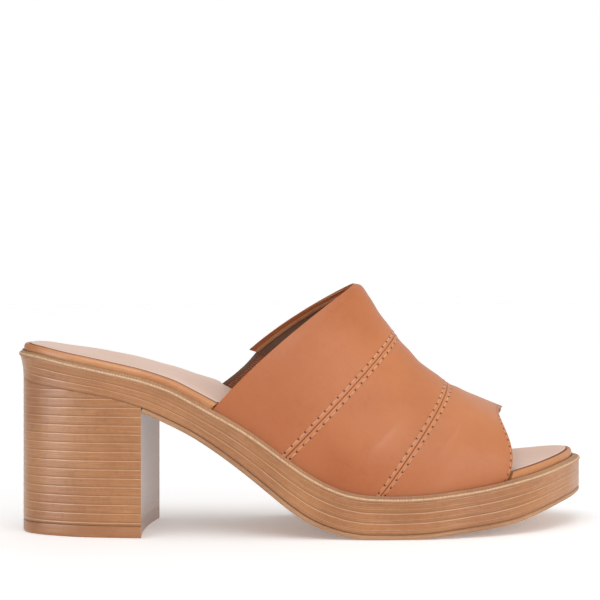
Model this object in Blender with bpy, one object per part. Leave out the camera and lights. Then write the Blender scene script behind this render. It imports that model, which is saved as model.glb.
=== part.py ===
"""Right-foot slide sandal: a heeled mule with open toe and open back.

The shoe stands on its sole. +X runs from the heel to the toe, +Y to the inner
side of the foot and +Z up. The origin is the middle of the plan at the floor.
"""
import math

import bmesh
import bpy
import numpy as np

# Driving sizes of the whole shoe
LENGTH = 0.2422
BALL_BREADTH = 0.0842
SEAT_HEIGHT = 0.0742
INSTEP_HEIGHT = 0.1030
FIT_GAP = 0.0003

# Sole pieces
WELT_WIDTH = 0.0033
WELT_AT_HEEL = 0.54
WELT_EDGE = 0.0011
WELT_RISE = 0.0012
OUTSOLE_THICKNESS = 0.0020
SOLE_INSET = 0.0004
PLATFORM_FLARE = 0.0014
LAYER_GROOVE = 0.0005
FOOTBED_RISE = 0.0040
FOOTBED_RIM = 0.0021
FOOTBED_ROLL = 0.0011
SOCK_THICKNESS = 0.0009

# Heel pieces
HEEL_INSET = 0.0018
HEEL_GROOVE = 0.0005
HEEL_PITCH = 0.00357
HEEL_LAYERS = 16
LIFT_HEIGHT = 0.0050
BREAST_LATERAL = 0.0513
BREAST_MEDIAL = 0.0583
BREAST_HOLLOW = 0.0020

# Upper pieces
WALL = 0.0019
SEAM_LIP = 0.0004
SEAM_DEPTH = 0.0005
SEAM_HALF = 0.0011
GORE_WALL = 0.0012
GORE_CROWN = 0.775
GORE_START = 0.06
GORE_END = 0.56
GORE_CLEAR = 0.00035
TOPLINE_FOLD = 0.0022

# Small roundings and steps that several pieces share
EDGE = 0.0004
LIP = 0.0003
HAIR = 0.0001
SEAT_STEP = 0.00012
WELD = 0.000004
SLOPE_STEP = 0.002
TURN_STEP = 0.01
FOOT_TURN = 0.995

# Plan of the rim: station along the length, then how far the outer side and
# the inner side lie from the heel to toe line, as shares of the ball breadth
PLAN = (
    # station, outer, inner
    (0.003, -0.110, 0.042),
    (0.013, -0.181, 0.131),
    (0.034, -0.242, 0.204),
    (0.070, -0.303, 0.256),
    (0.120, -0.357, 0.286),
    (0.190, -0.397, 0.284),
    (0.260, -0.426, 0.271),
    (0.330, -0.449, 0.257),
    (0.400, -0.469, 0.269),
    (0.460, -0.483, 0.297),
    (0.520, -0.501, 0.351),
    (0.580, -0.525, 0.413),
    (0.640, -0.535, 0.451),
    (0.700, -0.534, 0.467),
    (0.760, -0.499, 0.464),
    (0.815, -0.454, 0.449),
    (0.865, -0.392, 0.422),
    (0.905, -0.311, 0.383),
    (0.940, -0.210, 0.332),
    (0.966, -0.123, 0.286),
    (0.985, -0.030, 0.240),
    (0.996, 0.048, 0.192),
)
HEEL_TIP = (0.0, -0.036)
TOE_TIP = (1.0, 0.128)

# Side view of the sole: station along the length, then the height of the rim
# and of the tread as shares of the seat height
PROFILE = (
    # station, rim, tread
    (0.000, 1.000, 0.836),
    (0.030, 0.987, 0.803),
    (0.079, 0.952, 0.777),
    (0.148, 0.905, 0.739),
    (0.212, 0.856, 0.681),
    (0.260, 0.802, 0.612),
    (0.292, 0.748, 0.558),
    (0.326, 0.686, 0.488),
    (0.359, 0.627, 0.412),
    (0.392, 0.561, 0.330),
    (0.425, 0.485, 0.243),
    (0.458, 0.405, 0.156),
    (0.491, 0.333, 0.086),
    (0.524, 0.276, 0.040),
    (0.556, 0.239, 0.013),
    (0.591, 0.221, 0.000),
    (0.640, 0.216, 0.000),
    (0.680, 0.221, 0.004),
    (0.723, 0.233, 0.016),
    (0.778, 0.252, 0.034),
    (0.832, 0.280, 0.055),
    (0.871, 0.302, 0.083),
    (0.914, 0.326, 0.119),
    (0.955, 0.350, 0.149),
    (0.985, 0.364, 0.168),
    (1.000, 0.371, 0.176),
)

# Rise of the inner side over the outer side along the arch, as a share of the
# seat height
ARCH = (
    # station, rise
    (0.000, 0.006),
    (0.080, 0.018),
    (0.130, 0.028),
    (0.190, 0.034),
    (0.240, 0.037),
    (0.300, 0.070),
    (0.350, 0.108),
    (0.400, 0.098),
    (0.470, 0.050),
    (0.540, 0.012),
    (0.600, 0.000),
    (0.780, 0.000),
    (0.860, 0.012),
    (0.930, 0.006),
    (1.000, 0.000),
)

# Top line of the upper: station along the length and height as a share of the
# instep height
RIDGE = (
    # station, height
    (0.551, 1.010),
    (0.579, 1.000),
    (0.593, 0.994),
    (0.610, 0.944),
    (0.628, 0.876),
    (0.646, 0.822),
    (0.664, 0.764),
    (0.681, 0.723),
    (0.698, 0.678),
    (0.716, 0.645),
    (0.734, 0.616),
    (0.751, 0.583),
    (0.769, 0.566),
    (0.787, 0.545),
    (0.804, 0.528),
    (0.822, 0.509),
    (0.849, 0.480),
    (0.860, 0.468),
)

# Sections of the upper, from the topline to the toe opening: station of the
# foot on the outer side, on the inner side and at the ridge, sideways place of
# the ridge as a share of the ball breadth, fullness of the flanks, and how far
# each flank bows forward and how far the inner flank turns ahead of the outer
# one, as shares of the instep height
SECTIONS = (
    # outer foot, inner foot, ridge, ridge side, fullness, outer bow, inner bow, turn
    (0.328, 0.337, 0.579, -0.040, 2.25, -0.039, -0.062, 0.000),
    (0.452, 0.452, 0.655, -0.025, 2.25, 0.000, 0.000, 0.000),
    (0.610, 0.610, 0.747, 0.000, 2.30, 0.000, 0.000, 0.000),
    (0.8385, 0.8385, 0.8515, 0.025, 2.45, 0.054, -0.045, 0.113),
)

# Stations where the rows of every sole piece lie
STATIONS = (
    0.0, 0.0015, 0.006, 0.015, 0.030, 0.050, 0.075, 0.105, 0.135, 0.165,
    0.195, 0.225, 0.255, 0.284, 0.306, 0.3246, 0.3264, 0.355, 0.388, 0.414,
    0.440, 0.467, 0.493, 0.519, 0.546, 0.572, 0.598, 0.625, 0.651, 0.677,
    0.704, 0.730, 0.756, 0.782, 0.810, 0.8430, 0.8450, 0.861, 0.884, 0.908,
    0.930, 0.950, 0.967, 0.981, 0.991, 0.9975, 1.0,
)
HEEL_STEPS = (0.0, 0.006, 0.026, 0.065, 0.125, 0.21, 0.31, 0.42, 0.54, 0.66, 0.78, 0.90, 1.0)
BAND_REAR = (0.3246, 0.3264)
BAND_TOE = (0.8430, 0.8450)
FLARE_SPAN = (0.26, 0.46)
WELT_SPAN = 0.34


def clear_scene():
    """Remove every object of the start scene."""
    for item in list(bpy.data.objects):
        bpy.data.objects.remove(item, do_unlink=True)
    for mesh in list(bpy.data.meshes):
        bpy.data.meshes.remove(mesh)


def ease(table, column, where):
    """Read a table column at given stations with a smooth monotone curve."""
    x = np.array([row[0] for row in table])
    y = np.array([row[column] for row in table])
    step = np.diff(x)
    rate = np.diff(y) / step
    tangent = np.zeros(len(x))
    tangent[0] = rate[0]
    tangent[-1] = rate[-1]
    product = rate[:-1] * rate[1:]
    before = 2.0 * step[1:] + step[:-1]
    after = step[1:] + 2.0 * step[:-1]
    safe_low = np.where(product > 0.0, rate[:-1], 1.0)
    safe_high = np.where(product > 0.0, rate[1:], 1.0)
    mean = (before + after) / (before / safe_low + after / safe_high)
    tangent[1:-1] = np.where(product > 0.0, mean, 0.0)
    where = np.clip(np.asarray(where, dtype=float), x[0], x[-1])
    cell = np.clip(np.searchsorted(x, where, side="right") - 1, 0, len(x) - 2)
    h = step[cell]
    u = (where - x[cell]) / h
    rise = (1.0 + 2.0 * u) * (1.0 - u) ** 2 * y[cell] + u * u * (3.0 - 2.0 * u) * y[cell + 1]
    bend = u * (1.0 - u) ** 2 * h * tangent[cell] + u * u * (u - 1.0) * h * tangent[cell + 1]
    return rise + bend


def closed_curve(points, fine):
    """Pass a smooth closed curve through points, with fine steps a span."""
    ring = np.asarray(points, dtype=float)
    before = np.roll(ring, 1, axis=0)
    after = np.roll(ring, -1, axis=0)
    beyond = np.roll(ring, -2, axis=0)
    reach_0 = np.linalg.norm(ring - before, axis=1)[:, None] ** 0.5
    reach_1 = np.linalg.norm(after - ring, axis=1)[:, None] ** 0.5
    reach_2 = np.linalg.norm(beyond - after, axis=1)[:, None] ** 0.5
    out = (ring - before) / reach_0 - (after - before) / (reach_0 + reach_1)
    out = (out + (after - ring) / reach_1) * reach_1
    into = (after - ring) / reach_1 - (beyond - ring) / (reach_1 + reach_2)
    into = (into + (beyond - after) / reach_2) * reach_1
    u = (np.arange(fine) / fine)[None, :, None]
    start = ring[:, None, :]
    end = after[:, None, :]
    cube = (2.0 * u ** 3 - 3.0 * u ** 2 + 1.0) * start + (3.0 * u ** 2 - 2.0 * u ** 3) * end
    cube = cube + (u ** 3 - 2.0 * u ** 2 + u) * out[:, None, :]
    cube = cube + (u ** 3 - u ** 2) * into[:, None, :]
    return cube.reshape(-1, 2)


def rim_curves():
    """Return the outer-side and inner-side rim, each from heel to toe."""
    heel = np.array([[HEEL_TIP[0] * LENGTH, HEEL_TIP[1] * BALL_BREADTH]])
    toe = np.array([[TOE_TIP[0] * LENGTH, TOE_TIP[1] * BALL_BREADTH]])
    outer = np.array([(row[0] * LENGTH, row[1] * BALL_BREADTH) for row in PLAN])
    inner = np.array([(row[0] * LENGTH, row[2] * BALL_BREADTH) for row in PLAN])
    ring = np.vstack([heel, outer, toe, inner[::-1]])
    fine = 60
    curve = closed_curve(ring, fine)
    turn = (len(PLAN) + 1) * fine
    side_out = curve[: turn + 1]
    side_in = np.vstack([curve[turn:], curve[:1]])[::-1]
    return side_out, side_in


def with_normals(side, sign):
    """Pair a rim side with its unit normals into the plan."""
    along = np.gradient(side, axis=0)
    along = along / np.linalg.norm(along, axis=1)[:, None]
    normal = np.stack([-along[:, 1], along[:, 0]], axis=1) * sign
    return side, normal


OUTER_SIDE, OUTER_IN = with_normals(rim_curves()[0], 1.0)
INNER_SIDE, INNER_IN = with_normals(rim_curves()[1], -1.0)
TIP_NORMAL_HEEL = np.array([1.0, 0.0])
TIP_NORMAL_TOE = np.array([-1.0, 0.0])


def side_points(x, inset, outer):
    """Place points of one side of the rim at lengths x, moved in by inset."""
    side = OUTER_SIDE if outer else INNER_SIDE
    normal = OUTER_IN if outer else INNER_IN
    x = np.asarray(x, dtype=float)
    inset = np.broadcast_to(np.asarray(inset, dtype=float), x.shape)
    order = np.maximum.accumulate(side[:, 0])
    y = np.interp(x, order, side[:, 1])
    across = np.stack([np.interp(x, order, normal[:, k]) for k in (0, 1)], axis=-1)
    across = np.where((x <= 1e-9)[..., None], TIP_NORMAL_HEEL, across)
    across = np.where((x >= LENGTH - 1e-9)[..., None], TIP_NORMAL_TOE, across)
    across = across / np.linalg.norm(across, axis=-1)[..., None]
    return np.stack([x, y], axis=-1) + across * inset[..., None]


def rim_height(x):
    """Height of the rim at lengths x."""
    return ease(PROFILE, 1, np.asarray(x) / LENGTH) * SEAT_HEIGHT


def tread_height(x):
    """Height of the tread line at lengths x."""
    return ease(PROFILE, 2, np.asarray(x) / LENGTH) * SEAT_HEIGHT


def arch_height(x, y):
    """Height gained toward the inner side of the arch."""
    low = side_points(x, 0.0, True)[..., 1]
    high = side_points(x, 0.0, False)[..., 1]
    share = np.clip((y - low) / np.maximum(high - low, EDGE), 0.0, 1.0)
    return ease(ARCH, 1, np.asarray(x) / LENGTH) * SEAT_HEIGHT * share


def lean(height, x):
    """Factor that turns a thickness square to a slope into a height."""
    rise = (height(x + SLOPE_STEP) - height(x - SLOPE_STEP)) / (2.0 * SLOPE_STEP)
    return np.sqrt(1.0 + rise ** 2)


def above_rim(offset):
    """Make a height function that lies offset over the rim line."""
    return lambda x, y: rim_height(x) + offset * lean(rim_height, x) + arch_height(x, y)


def above_tread(offset):
    """Make a height function that lies offset over the tread line."""
    return lambda x, y: tread_height(x) + offset * lean(tread_height, x) + arch_height(x, y)


def between(low, high, share):
    """Make a height function a share of the way from low to high."""
    return lambda x, y: low(x, y) * (1.0 - share) + high(x, y) * share


def level(z):
    """Make the height function of a level plane."""
    return lambda x, y: np.full_like(x, z)


def flare_inset(x):
    """How far the foot of the sole side lies inside its crown."""
    start, end = FLARE_SPAN
    share = np.clip((end - np.asarray(x) / LENGTH) / (end - start), 0.0, 1.0)
    return PLATFORM_FLARE * share * share * (3.0 - 2.0 * share)


def welt_width(x):
    """Width of the welt, which narrows toward the heel."""
    share = np.clip(np.asarray(x) / LENGTH / WELT_SPAN, 0.0, 1.0)
    return WELT_WIDTH * (WELT_AT_HEEL + (1.0 - WELT_AT_HEEL) * share * share * (3.0 - 2.0 * share))


def band_inset(x, extra):
    """Extra inset where the wall of the upper stands beside the footbed."""
    share = np.asarray(x) / LENGTH
    rise = np.clip((share - BAND_REAR[0]) / (BAND_REAR[1] - BAND_REAR[0]), 0.0, 1.0)
    fall = np.clip((BAND_TOE[1] - share) / (BAND_TOE[1] - BAND_TOE[0]), 0.0, 1.0)
    return extra * np.minimum(rise, fall)


def make_object(name, vertices, faces, material):
    """Build one closed named body from vertices and faces."""
    mesh = bpy.data.meshes.new(name)
    mesh.from_pydata([tuple(v) for v in vertices], [], faces)
    work = bmesh.new()
    work.from_mesh(mesh)
    bmesh.ops.remove_doubles(work, verts=work.verts, dist=WELD)
    bmesh.ops.dissolve_degenerate(work, edges=work.edges, dist=WELD)
    bmesh.ops.triangulate(work, faces=work.faces)
    bmesh.ops.recalc_face_normals(work, faces=work.faces)
    work.to_mesh(mesh)
    work.free()
    mesh.materials.append(material)
    item = bpy.data.objects.new(name, mesh)
    bpy.context.scene.collection.objects.link(item)
    return item


def material(name, colour, roughness):
    """Make a plain material of one colour."""
    item = bpy.data.materials.new(name)
    item.use_nodes = True
    shader = item.node_tree.nodes["Principled BSDF"]
    shader.inputs["Base Color"].default_value = (*colour, 1.0)
    shader.inputs["Roughness"].default_value = roughness
    shader.inputs["Metallic"].default_value = 0.0
    return item


class Slab:
    """A sole piece: rings of one plan stacked, with rows across its faces."""

    def __init__(self, outer_x, inner_x, across, extra=0.0, cut_start=False,
                 cut_end=False, hollow=0.0):
        """Keep the stations of both sides and how the ends are cut.

        An inset is a length, or a row of the length, the share of the flare
        and the share of the welt's width that are added to it.
        """
        self.outer_x = np.asarray(outer_x)
        self.inner_x = np.asarray(inner_x)
        self.across = across
        self.extra = extra
        self.cut_start = cut_start
        self.cut_end = cut_end
        self.hollow = hollow

    def grid(self, inset, height):
        """Lay the rows of one level out as an array rows x across x 3."""
        plain, flare, welt = inset if isinstance(inset, tuple) else (inset, 0.0, 0.0)
        sides = []
        for x, outer_side in ((self.outer_x, True), (self.inner_x, False)):
            deep = plain + flare * flare_inset(x) + welt * welt_width(x)
            deep = deep + band_inset(x, self.extra)
            sides.append(side_points(x, deep, outer_side))
        outer, inner = sides
        share = np.linspace(0.0, 1.0, self.across + 1)[None, :, None]
        flat = outer[:, None, :] * (1.0 - share) + inner[:, None, :] * share
        bow = 4.0 * share[0, :, 0] * (1.0 - share[0, :, 0]) * self.hollow
        if self.cut_end:
            flat[-1, :, 0] -= bow
        if self.cut_start:
            flat[0, :, 0] -= bow
        return np.dstack([flat, height(flat[:, :, 0], flat[:, :, 1])])

    def loop(self):
        """Grid indices once round the edge of a level."""
        rows = len(self.outer_x)
        last = self.across
        first = 0 if self.cut_start else 1
        end = rows if self.cut_end else rows - 1
        path = []
        if not self.cut_start:
            path.append((0, 0))
        path += [(i, 0) for i in range(first, end)]
        if self.cut_end:
            path += [(rows - 1, j) for j in range(1, last)]
        else:
            path.append((rows - 1, 0))
        path += [(i, last) for i in range(end - 1, first - 1, -1)]
        if self.cut_start:
            path += [(0, j) for j in range(last - 1, 0, -1)]
        return path

    def cap(self, vertices, faces, inset, height):
        """Add a face sheet and return the vertex numbers of its edge."""
        grid = self.grid(inset, height)
        rows, columns = grid.shape[:2]
        base = len(vertices)
        vertices.extend(grid.reshape(-1, 3))
        index = base + np.arange(rows * columns).reshape(rows, columns)
        if not self.cut_start:
            index[0, :] = index[0, 0]
        if not self.cut_end:
            index[-1, :] = index[-1, 0]
        for i in range(rows - 1):
            for j in range(columns - 1):
                corners = [index[i, j], index[i + 1, j], index[i + 1, j + 1], index[i, j + 1]]
                face = list(dict.fromkeys(int(c) for c in corners))
                if len(face) > 2:
                    faces.append(face)
        return [int(index[i, j]) for i, j in self.loop()]

    def ring(self, vertices, inset, height):
        """Add one edge ring and return its vertex numbers."""
        grid = self.grid(inset, height)
        base = len(vertices)
        path = self.loop()
        vertices.extend(grid[i, j] for i, j in path)
        return list(range(base, base + len(path)))

    def solid(self, name, levels, finish):
        """Stack the levels from the lowest to the last and close both ends."""
        vertices = []
        faces = []
        rings = [self.cap(vertices, faces, *levels[0])]
        rings += [self.ring(vertices, *level) for level in levels[1:-1]]
        rings.append(self.cap(vertices, faces, *levels[-1]))
        join(faces, rings)
        return make_object(name, vertices, faces, finish)

    def frame(self, name, levels, finish):
        """Join the levels into a closed ring with a hollow middle."""
        vertices = []
        faces = []
        rings = [self.ring(vertices, *level) for level in levels]
        join(faces, rings + rings[:1])
        return make_object(name, vertices, faces, finish)


def join(faces, rings):
    """Bridge each ring to the next with four-sided faces."""
    for low, high in zip(rings[:-1], rings[1:]):
        count = len(low)
        for k in range(count):
            after = (k + 1) % count
            faces.append([low[k], low[after], high[after], high[k]])


def full_slab(across, extra=0.0):
    """A sole piece that runs from the heel tip to the toe tip."""
    x = np.array(STATIONS) * LENGTH
    return Slab(x, x, across, extra)


def heel_slab():
    """A heel piece, cut at the hollow breast."""
    steps = np.array(HEEL_STEPS)
    return Slab(steps * BREAST_LATERAL, steps * BREAST_MEDIAL, 5, cut_end=True,
                hollow=BREAST_HOLLOW)


def build_lift(finish):
    """Build the top piece that the heel stands on."""
    deep = HEEL_INSET + EDGE
    levels = [(deep, level(0.0)), (HEEL_INSET, level(EDGE)),
              (HEEL_INSET, level(LIFT_HEIGHT - FIT_GAP - EDGE)),
              (deep, level(LIFT_HEIGHT - FIT_GAP))]
    return heel_slab().solid("heel_lift", levels, finish)


def build_heel(finish):
    """Build the block heel with its stacked grooves."""
    seat = above_tread(OUTSOLE_THICKNESS)
    marks = [(HEEL_INSET + EDGE, LIFT_HEIGHT), (HEEL_INSET, LIFT_HEIGHT + EDGE)]
    for k in range(HEEL_LAYERS):
        z = LIFT_HEIGHT + 3.0 * EDGE + HEEL_PITCH * k
        marks.append((HEEL_INSET + HEEL_GROOVE, z))
        marks.append((HEEL_INSET, z + EDGE))
    levels = []
    for k, (inset, z) in enumerate(marks):
        under = SEAT_STEP * (len(marks) - k)
        levels.append((inset, lambda x, y, z=z, under=under: np.minimum(z, seat(x, y) - under)))
    levels.append((HEEL_INSET, seat))
    return heel_slab().solid("heel_block", levels, finish)


def build_outsole(finish):
    """Build the tread sheet from the breast of the heel to the toe."""
    shared = np.array([s for s in STATIONS if s > FLARE_SPAN[0]]) * LENGTH
    sides = []
    for breast in (BREAST_LATERAL, BREAST_MEDIAL):
        start = breast + FIT_GAP + 2.0 * HAIR
        sides.append(np.concatenate([[start, (start + shared[0]) / 2.0], shared]))
    slab = Slab(sides[0], sides[1], 4, cut_start=True, hollow=BREAST_HOLLOW)
    top = OUTSOLE_THICKNESS
    edge = SOLE_INSET
    levels = [((edge + 2.0 * LIP, 1.0, 0.0), above_tread(0.0)),
              ((edge, 1.0, 0.0), above_tread(EDGE)),
              ((edge, 1.0, 0.0), above_tread(top - EDGE)),
              ((edge + EDGE, 1.0, 0.0), above_tread(top))]
    return slab.solid("outsole", levels, finish)


def build_platform(finish):
    """Build the three-layer body of the sole with its stepped side."""
    slab = full_slab(4)
    low = above_tread(OUTSOLE_THICKNESS + FIT_GAP)
    high = above_rim(-WELT_EDGE - FIT_GAP)
    edge = SOLE_INSET
    levels = [((edge + 2.0 * EDGE, 1.0, 0.0), low),
              ((edge, 1.0, 0.0), between(low, high, 0.06))]
    for share in (0.345, 0.665):
        flare = 1.0 - share ** 2
        levels.append(((edge, flare, 0.0), between(low, high, share - 0.03)))
        levels.append(((edge + LAYER_GROOVE, flare, 0.0), between(low, high, share)))
        levels.append(((edge, flare, 0.0), between(low, high, share + 0.03)))
    levels.append(((edge, 0.0, 0.0), between(low, high, 0.96)))
    levels.append(((edge + EDGE, 0.0, 0.0), high))
    return slab.solid("platform", levels, finish)


def build_welt(finish):
    """Build the rand that runs round the rim of the platform."""
    slab = full_slab(2)
    levels = [(LIP, above_rim(-WELT_EDGE)), (0.0, above_rim(LIP - WELT_EDGE)),
              (0.0, above_rim(-2.0 * HAIR)), (EDGE, above_rim(HAIR)),
              ((-LIP, 0.0, 1.0), above_rim(WELT_RISE)),
              ((0.0, 0.0, 1.0), above_rim(WELT_RISE - 2.0 * HAIR)),
              ((0.0, 0.0, 1.0), above_rim(-WELT_EDGE))]
    return slab.frame("welt", levels, finish)


def build_footbed(finish):
    """Build the insole board with its rounded rim and shallow recess."""
    slab = full_slab(4, WALL + FIT_GAP + HAIR)
    base = -WELT_EDGE
    rise = FOOTBED_RISE
    rows = ((2.0 * HAIR, base), (0.0, base + LIP), (0.0, rise - FOOTBED_ROLL),
            (EDGE, rise - LIP), (3.0 * EDGE, rise), (FOOTBED_RIM, rise - 2.0 * HAIR),
            (FOOTBED_RIM + HAIR, rise - SOCK_THICKNESS))
    levels = [((FIT_GAP + inset, 0.0, 1.0), above_rim(z)) for inset, z in rows]
    return slab.solid("footbed", levels, finish)


def build_sock(finish):
    """Build the thin lining sheet that lies in the footbed."""
    slab = full_slab(4, WALL + FIT_GAP + HAIR)
    edge = 2.0 * FIT_GAP + FOOTBED_RIM + HAIR
    base = FOOTBED_RISE - SOCK_THICKNESS + FIT_GAP
    levels = [((edge, 0.0, 1.0), above_rim(base)),
              ((edge, 0.0, 1.0), above_rim(base + SOCK_THICKNESS * 0.7)),
              ((edge + LIP, 0.0, 1.0), above_rim(base + SOCK_THICKNESS))]
    return slab.solid("sock", levels, finish)


def row_value(column, s):
    """Read a column of the sections table at section number s."""
    table = [(float(k), row[column]) for k, row in enumerate(SECTIONS)]
    return ease(table, 1, s)


def upper_point(s, t):
    """Point of the outer face of the upper.

    s runs from the topline 0 to the toe opening 3, t from the outer foot -1
    over the ridge 0 to the inner foot 1. A section is a super-ellipse quarter
    on each flank. It leans back from foot to ridge, each flank bows forward by
    a parabola, and the section turns about its ridge.
    """
    s = np.asarray(s, dtype=float)
    t = np.asarray(t, dtype=float)
    outer_x = row_value(0, s) * LENGTH
    inner_x = row_value(1, s) * LENGTH
    ridge_x = row_value(2, s) * LENGTH
    ridge_y = row_value(3, s) * BALL_BREADTH
    power = row_value(4, s)
    bow = np.where(t < 0.0, row_value(5, s), row_value(6, s)) * INSTEP_HEIGHT
    inset = WELT_WIDTH + FIT_GAP
    outer = side_points(outer_x, inset, True)
    inner = side_points(inner_x, inset, False)
    foot = np.where((t < 0.0)[..., None], outer, inner)
    foot_z = above_rim(WELT_RISE)(foot[..., 0], foot[..., 1])
    ridge_z = ease(RIDGE, 1, ridge_x / LENGTH) * INSTEP_HEIGHT
    angle = np.clip(np.abs(t), 0.0, 1.0) * math.pi / 2.0
    out = np.sin(angle) ** (2.0 / power)
    climb = np.clip(np.cos(angle), 0.0, 1.0) ** (2.0 / (power - 0.25))
    turn = row_value(7, s) * INSTEP_HEIGHT * np.sign(t) * out * climb
    bow = 4.0 * climb * (1.0 - climb) * bow
    x = foot[..., 0] + (ridge_x - foot[..., 0]) * climb + bow + turn
    y = ridge_y + (foot[..., 1] - ridge_y) * out
    z = foot_z + (ridge_z - foot_z) * climb
    return np.stack([x, y, z], axis=-1)


def upper_normal(s, t):
    """Unit normal of the outer face of the upper, pointing out."""
    s_low = np.clip(s - TURN_STEP, 0.0, 3.0)
    s_high = np.clip(s + TURN_STEP, 0.0, 3.0)
    t_low = np.clip(t - TURN_STEP, -FOOT_TURN, FOOT_TURN)
    t_high = np.clip(t + TURN_STEP, -FOOT_TURN, FOOT_TURN)
    t_low = np.where(t_high - t_low < TURN_STEP, t_high - TURN_STEP, t_low)
    along = upper_point(s_high, t) - upper_point(s_low, t)
    round_it = upper_point(s, t_high) - upper_point(s, t_low)
    normal = np.cross(along, round_it)
    normal = normal / np.linalg.norm(normal, axis=-1)[..., None]
    away = upper_point(s, t) - upper_point(s, t * 0.0) * np.array([1.0, 1.0, 0.0])
    away[..., 2] = away[..., 2] - INSTEP_HEIGHT * 0.2
    flip = np.sum(normal * away, axis=-1) < 0.0
    return np.where(flip[..., None], -normal, normal)


def upper_rate(s, t):
    """Distance on the upper for one section number."""
    low = np.clip(s - TURN_STEP, 0.0, 3.0)
    high = np.clip(s + TURN_STEP, 0.0, 3.0)
    gap = np.linalg.norm(upper_point(high, t) - upper_point(low, t), axis=-1)
    return gap / (high - low)


def shell(name, outside, inside, mask, finish):
    """Join an outside and an inside grid into one wall over the cells of mask."""
    rows, columns = outside.shape[:2]
    count = rows * columns
    vertices = np.vstack([outside.reshape(-1, 3), inside.reshape(-1, 3)])
    faces = []
    edges = {}
    for i in range(rows - 1):
        for j in range(columns - 1):
            if not mask[i, j]:
                continue
            a = i * columns + j
            corners = [a, a + 1, a + columns + 1, a + columns]
            faces.append(corners)
            faces.append([c + count for c in reversed(corners)])
            for start, end in zip(corners, corners[1:] + corners[:1]):
                if (end, start) in edges:
                    edges.pop((end, start))
                else:
                    edges[(start, end)] = True
    for start, end in edges:
        faces.append([end, start, start + count, end + count])
    used = sorted({v for face in faces for v in face})
    number = {v: k for k, v in enumerate(used)}
    faces = [[number[v] for v in face] for face in faces]
    return make_object(name, vertices[used], faces, finish)


def wall_grids(s, t, step, wall, feet):
    """Lay out both faces of a wall, with its feet straight beside the welt."""
    point = upper_point(s, t)
    normal = upper_normal(s, t)
    outside = point + normal * step[..., None]
    inside = point - normal * wall[..., None]
    base = above_rim(-WELT_EDGE)(point[..., 0], point[..., 1])
    for column in feet:
        for face in (outside, inside):
            face[:, column, 0] = point[:, column, 0]
            face[:, column, 2] = base[:, column]
        flat = normal[:, column, :2]
        flat = flat / np.linalg.norm(flat, axis=-1)[..., None]
        outside[:, column, :2] = point[:, column, :2]
        inside[:, column, :2] = point[:, column, :2] - flat * wall[:, column][:, None]
        beside = 1 if column == 0 else -2
        outside[:, beside, :2] = point[:, beside, :2]
        inside[:, beside, :2] = point[:, beside, :2] - flat * wall[:, beside][:, None]
        inside[:, beside, 2] = point[:, beside, 2]
        outside[:, beside, 2] = point[:, beside, 2]
    return outside, inside


def upper_columns():
    """Places round a section, closer together where the flank turns."""
    half = np.array([0.0, 0.12, 0.24, 0.36, 0.48, 0.61, GORE_CROWN, 0.85, 0.93, 1.0, 1.0])
    return np.concatenate([-half[::-1], half[1:]])


def upper_rows():
    """Rows of the upper as section number, distance from it and step."""
    lip = SEAM_HALF
    fold = 2.0 * HAIR
    rows = [(0.0, 0.0, fold), (0.0, TOPLINE_FOLD, fold), (0.0, TOPLINE_FOLD + 2.0 * EDGE, 0.0)]
    rows += [(s, 0.0, 0.0) for s in (0.28, GORE_END, 0.80)]
    for seam in (1.0, 2.0):
        rows += [(seam, -2.0 * lip, 0.0), (seam, -lip, SEAM_LIP),
                 (seam, -LIP, SEAM_LIP * 0.5), (seam, 0.0, -SEAM_DEPTH),
                 (seam, LIP, SEAM_LIP * 0.5), (seam, lip, SEAM_LIP),
                 (seam, 2.0 * lip, 0.0)]
        if seam < 1.5:
            rows += [(s, 0.0, 0.0) for s in (1.25, 1.5, 1.75)]
    rows += [(s, 0.0, 0.0) for s in (2.2, 2.4, 2.6, 2.8)]
    rows += [(3.0, -2.0 * EDGE, 0.0), (3.0, 0.0, -EDGE)]
    return rows


def build_upper(finish):
    """Build the hollow band of the upper with its two seams as steps."""
    columns = upper_columns()
    rows = upper_rows()
    t = np.broadcast_to(columns[None, :], (len(rows), len(columns))).copy()
    base = np.array([row[0] for row in rows])[:, None] + t * 0.0
    away = np.array([row[1] for row in rows])[:, None]
    step = np.array([row[2] for row in rows])[:, None] + t * 0.0
    s = base + away / upper_rate(base, t)
    outside, inside = wall_grids(s, t, step, np.full_like(t, WALL), (0, -1))
    mask = np.ones((len(rows) - 1, len(columns) - 1), dtype=bool)
    first = int(np.argmin(np.abs(columns - GORE_CROWN)))
    mask[:4, first:] = False
    return shell("upper", outside, inside, mask, finish)


def build_gore(finish):
    """Build the elastic gusset that fills the rear inner corner."""
    end = GORE_END
    t = np.array([GORE_CROWN, 0.85, 0.93, 1.0, 1.0])[None, :] + np.zeros((4, 1))
    s = np.array([GORE_START, 0.22, 0.39, end])[:, None] + t * 0.0
    slip = GORE_CLEAR / upper_rate(np.full_like(t, end), t)
    s[-1] = s[-1] - slip[-1]
    reach = np.linalg.norm(upper_point(s, t + TURN_STEP) - upper_point(s, t), axis=-1) / TURN_STEP
    t[:, 0] = t[:, 0] + GORE_CLEAR / reach[:, 0]
    sunk = np.full_like(t, -LIP)
    outside, inside = wall_grids(s, t, sunk, GORE_WALL - sunk, (-1,))
    mask = np.ones((3, 4), dtype=bool)
    return shell("gore", outside, inside, mask, finish)


def centre_plan(items):
    """Move the bodies so that the origin is the middle of the plan."""
    corners = np.array([tuple(v.co) for item in items for v in item.data.vertices])
    low = corners.min(axis=0)
    high = corners.max(axis=0)
    middle = (low + high) / 2.0
    for item in items:
        for vertex in item.data.vertices:
            vertex.co.x -= middle[0]
            vertex.co.y -= middle[1]
            vertex.co.z -= low[2]


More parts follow.
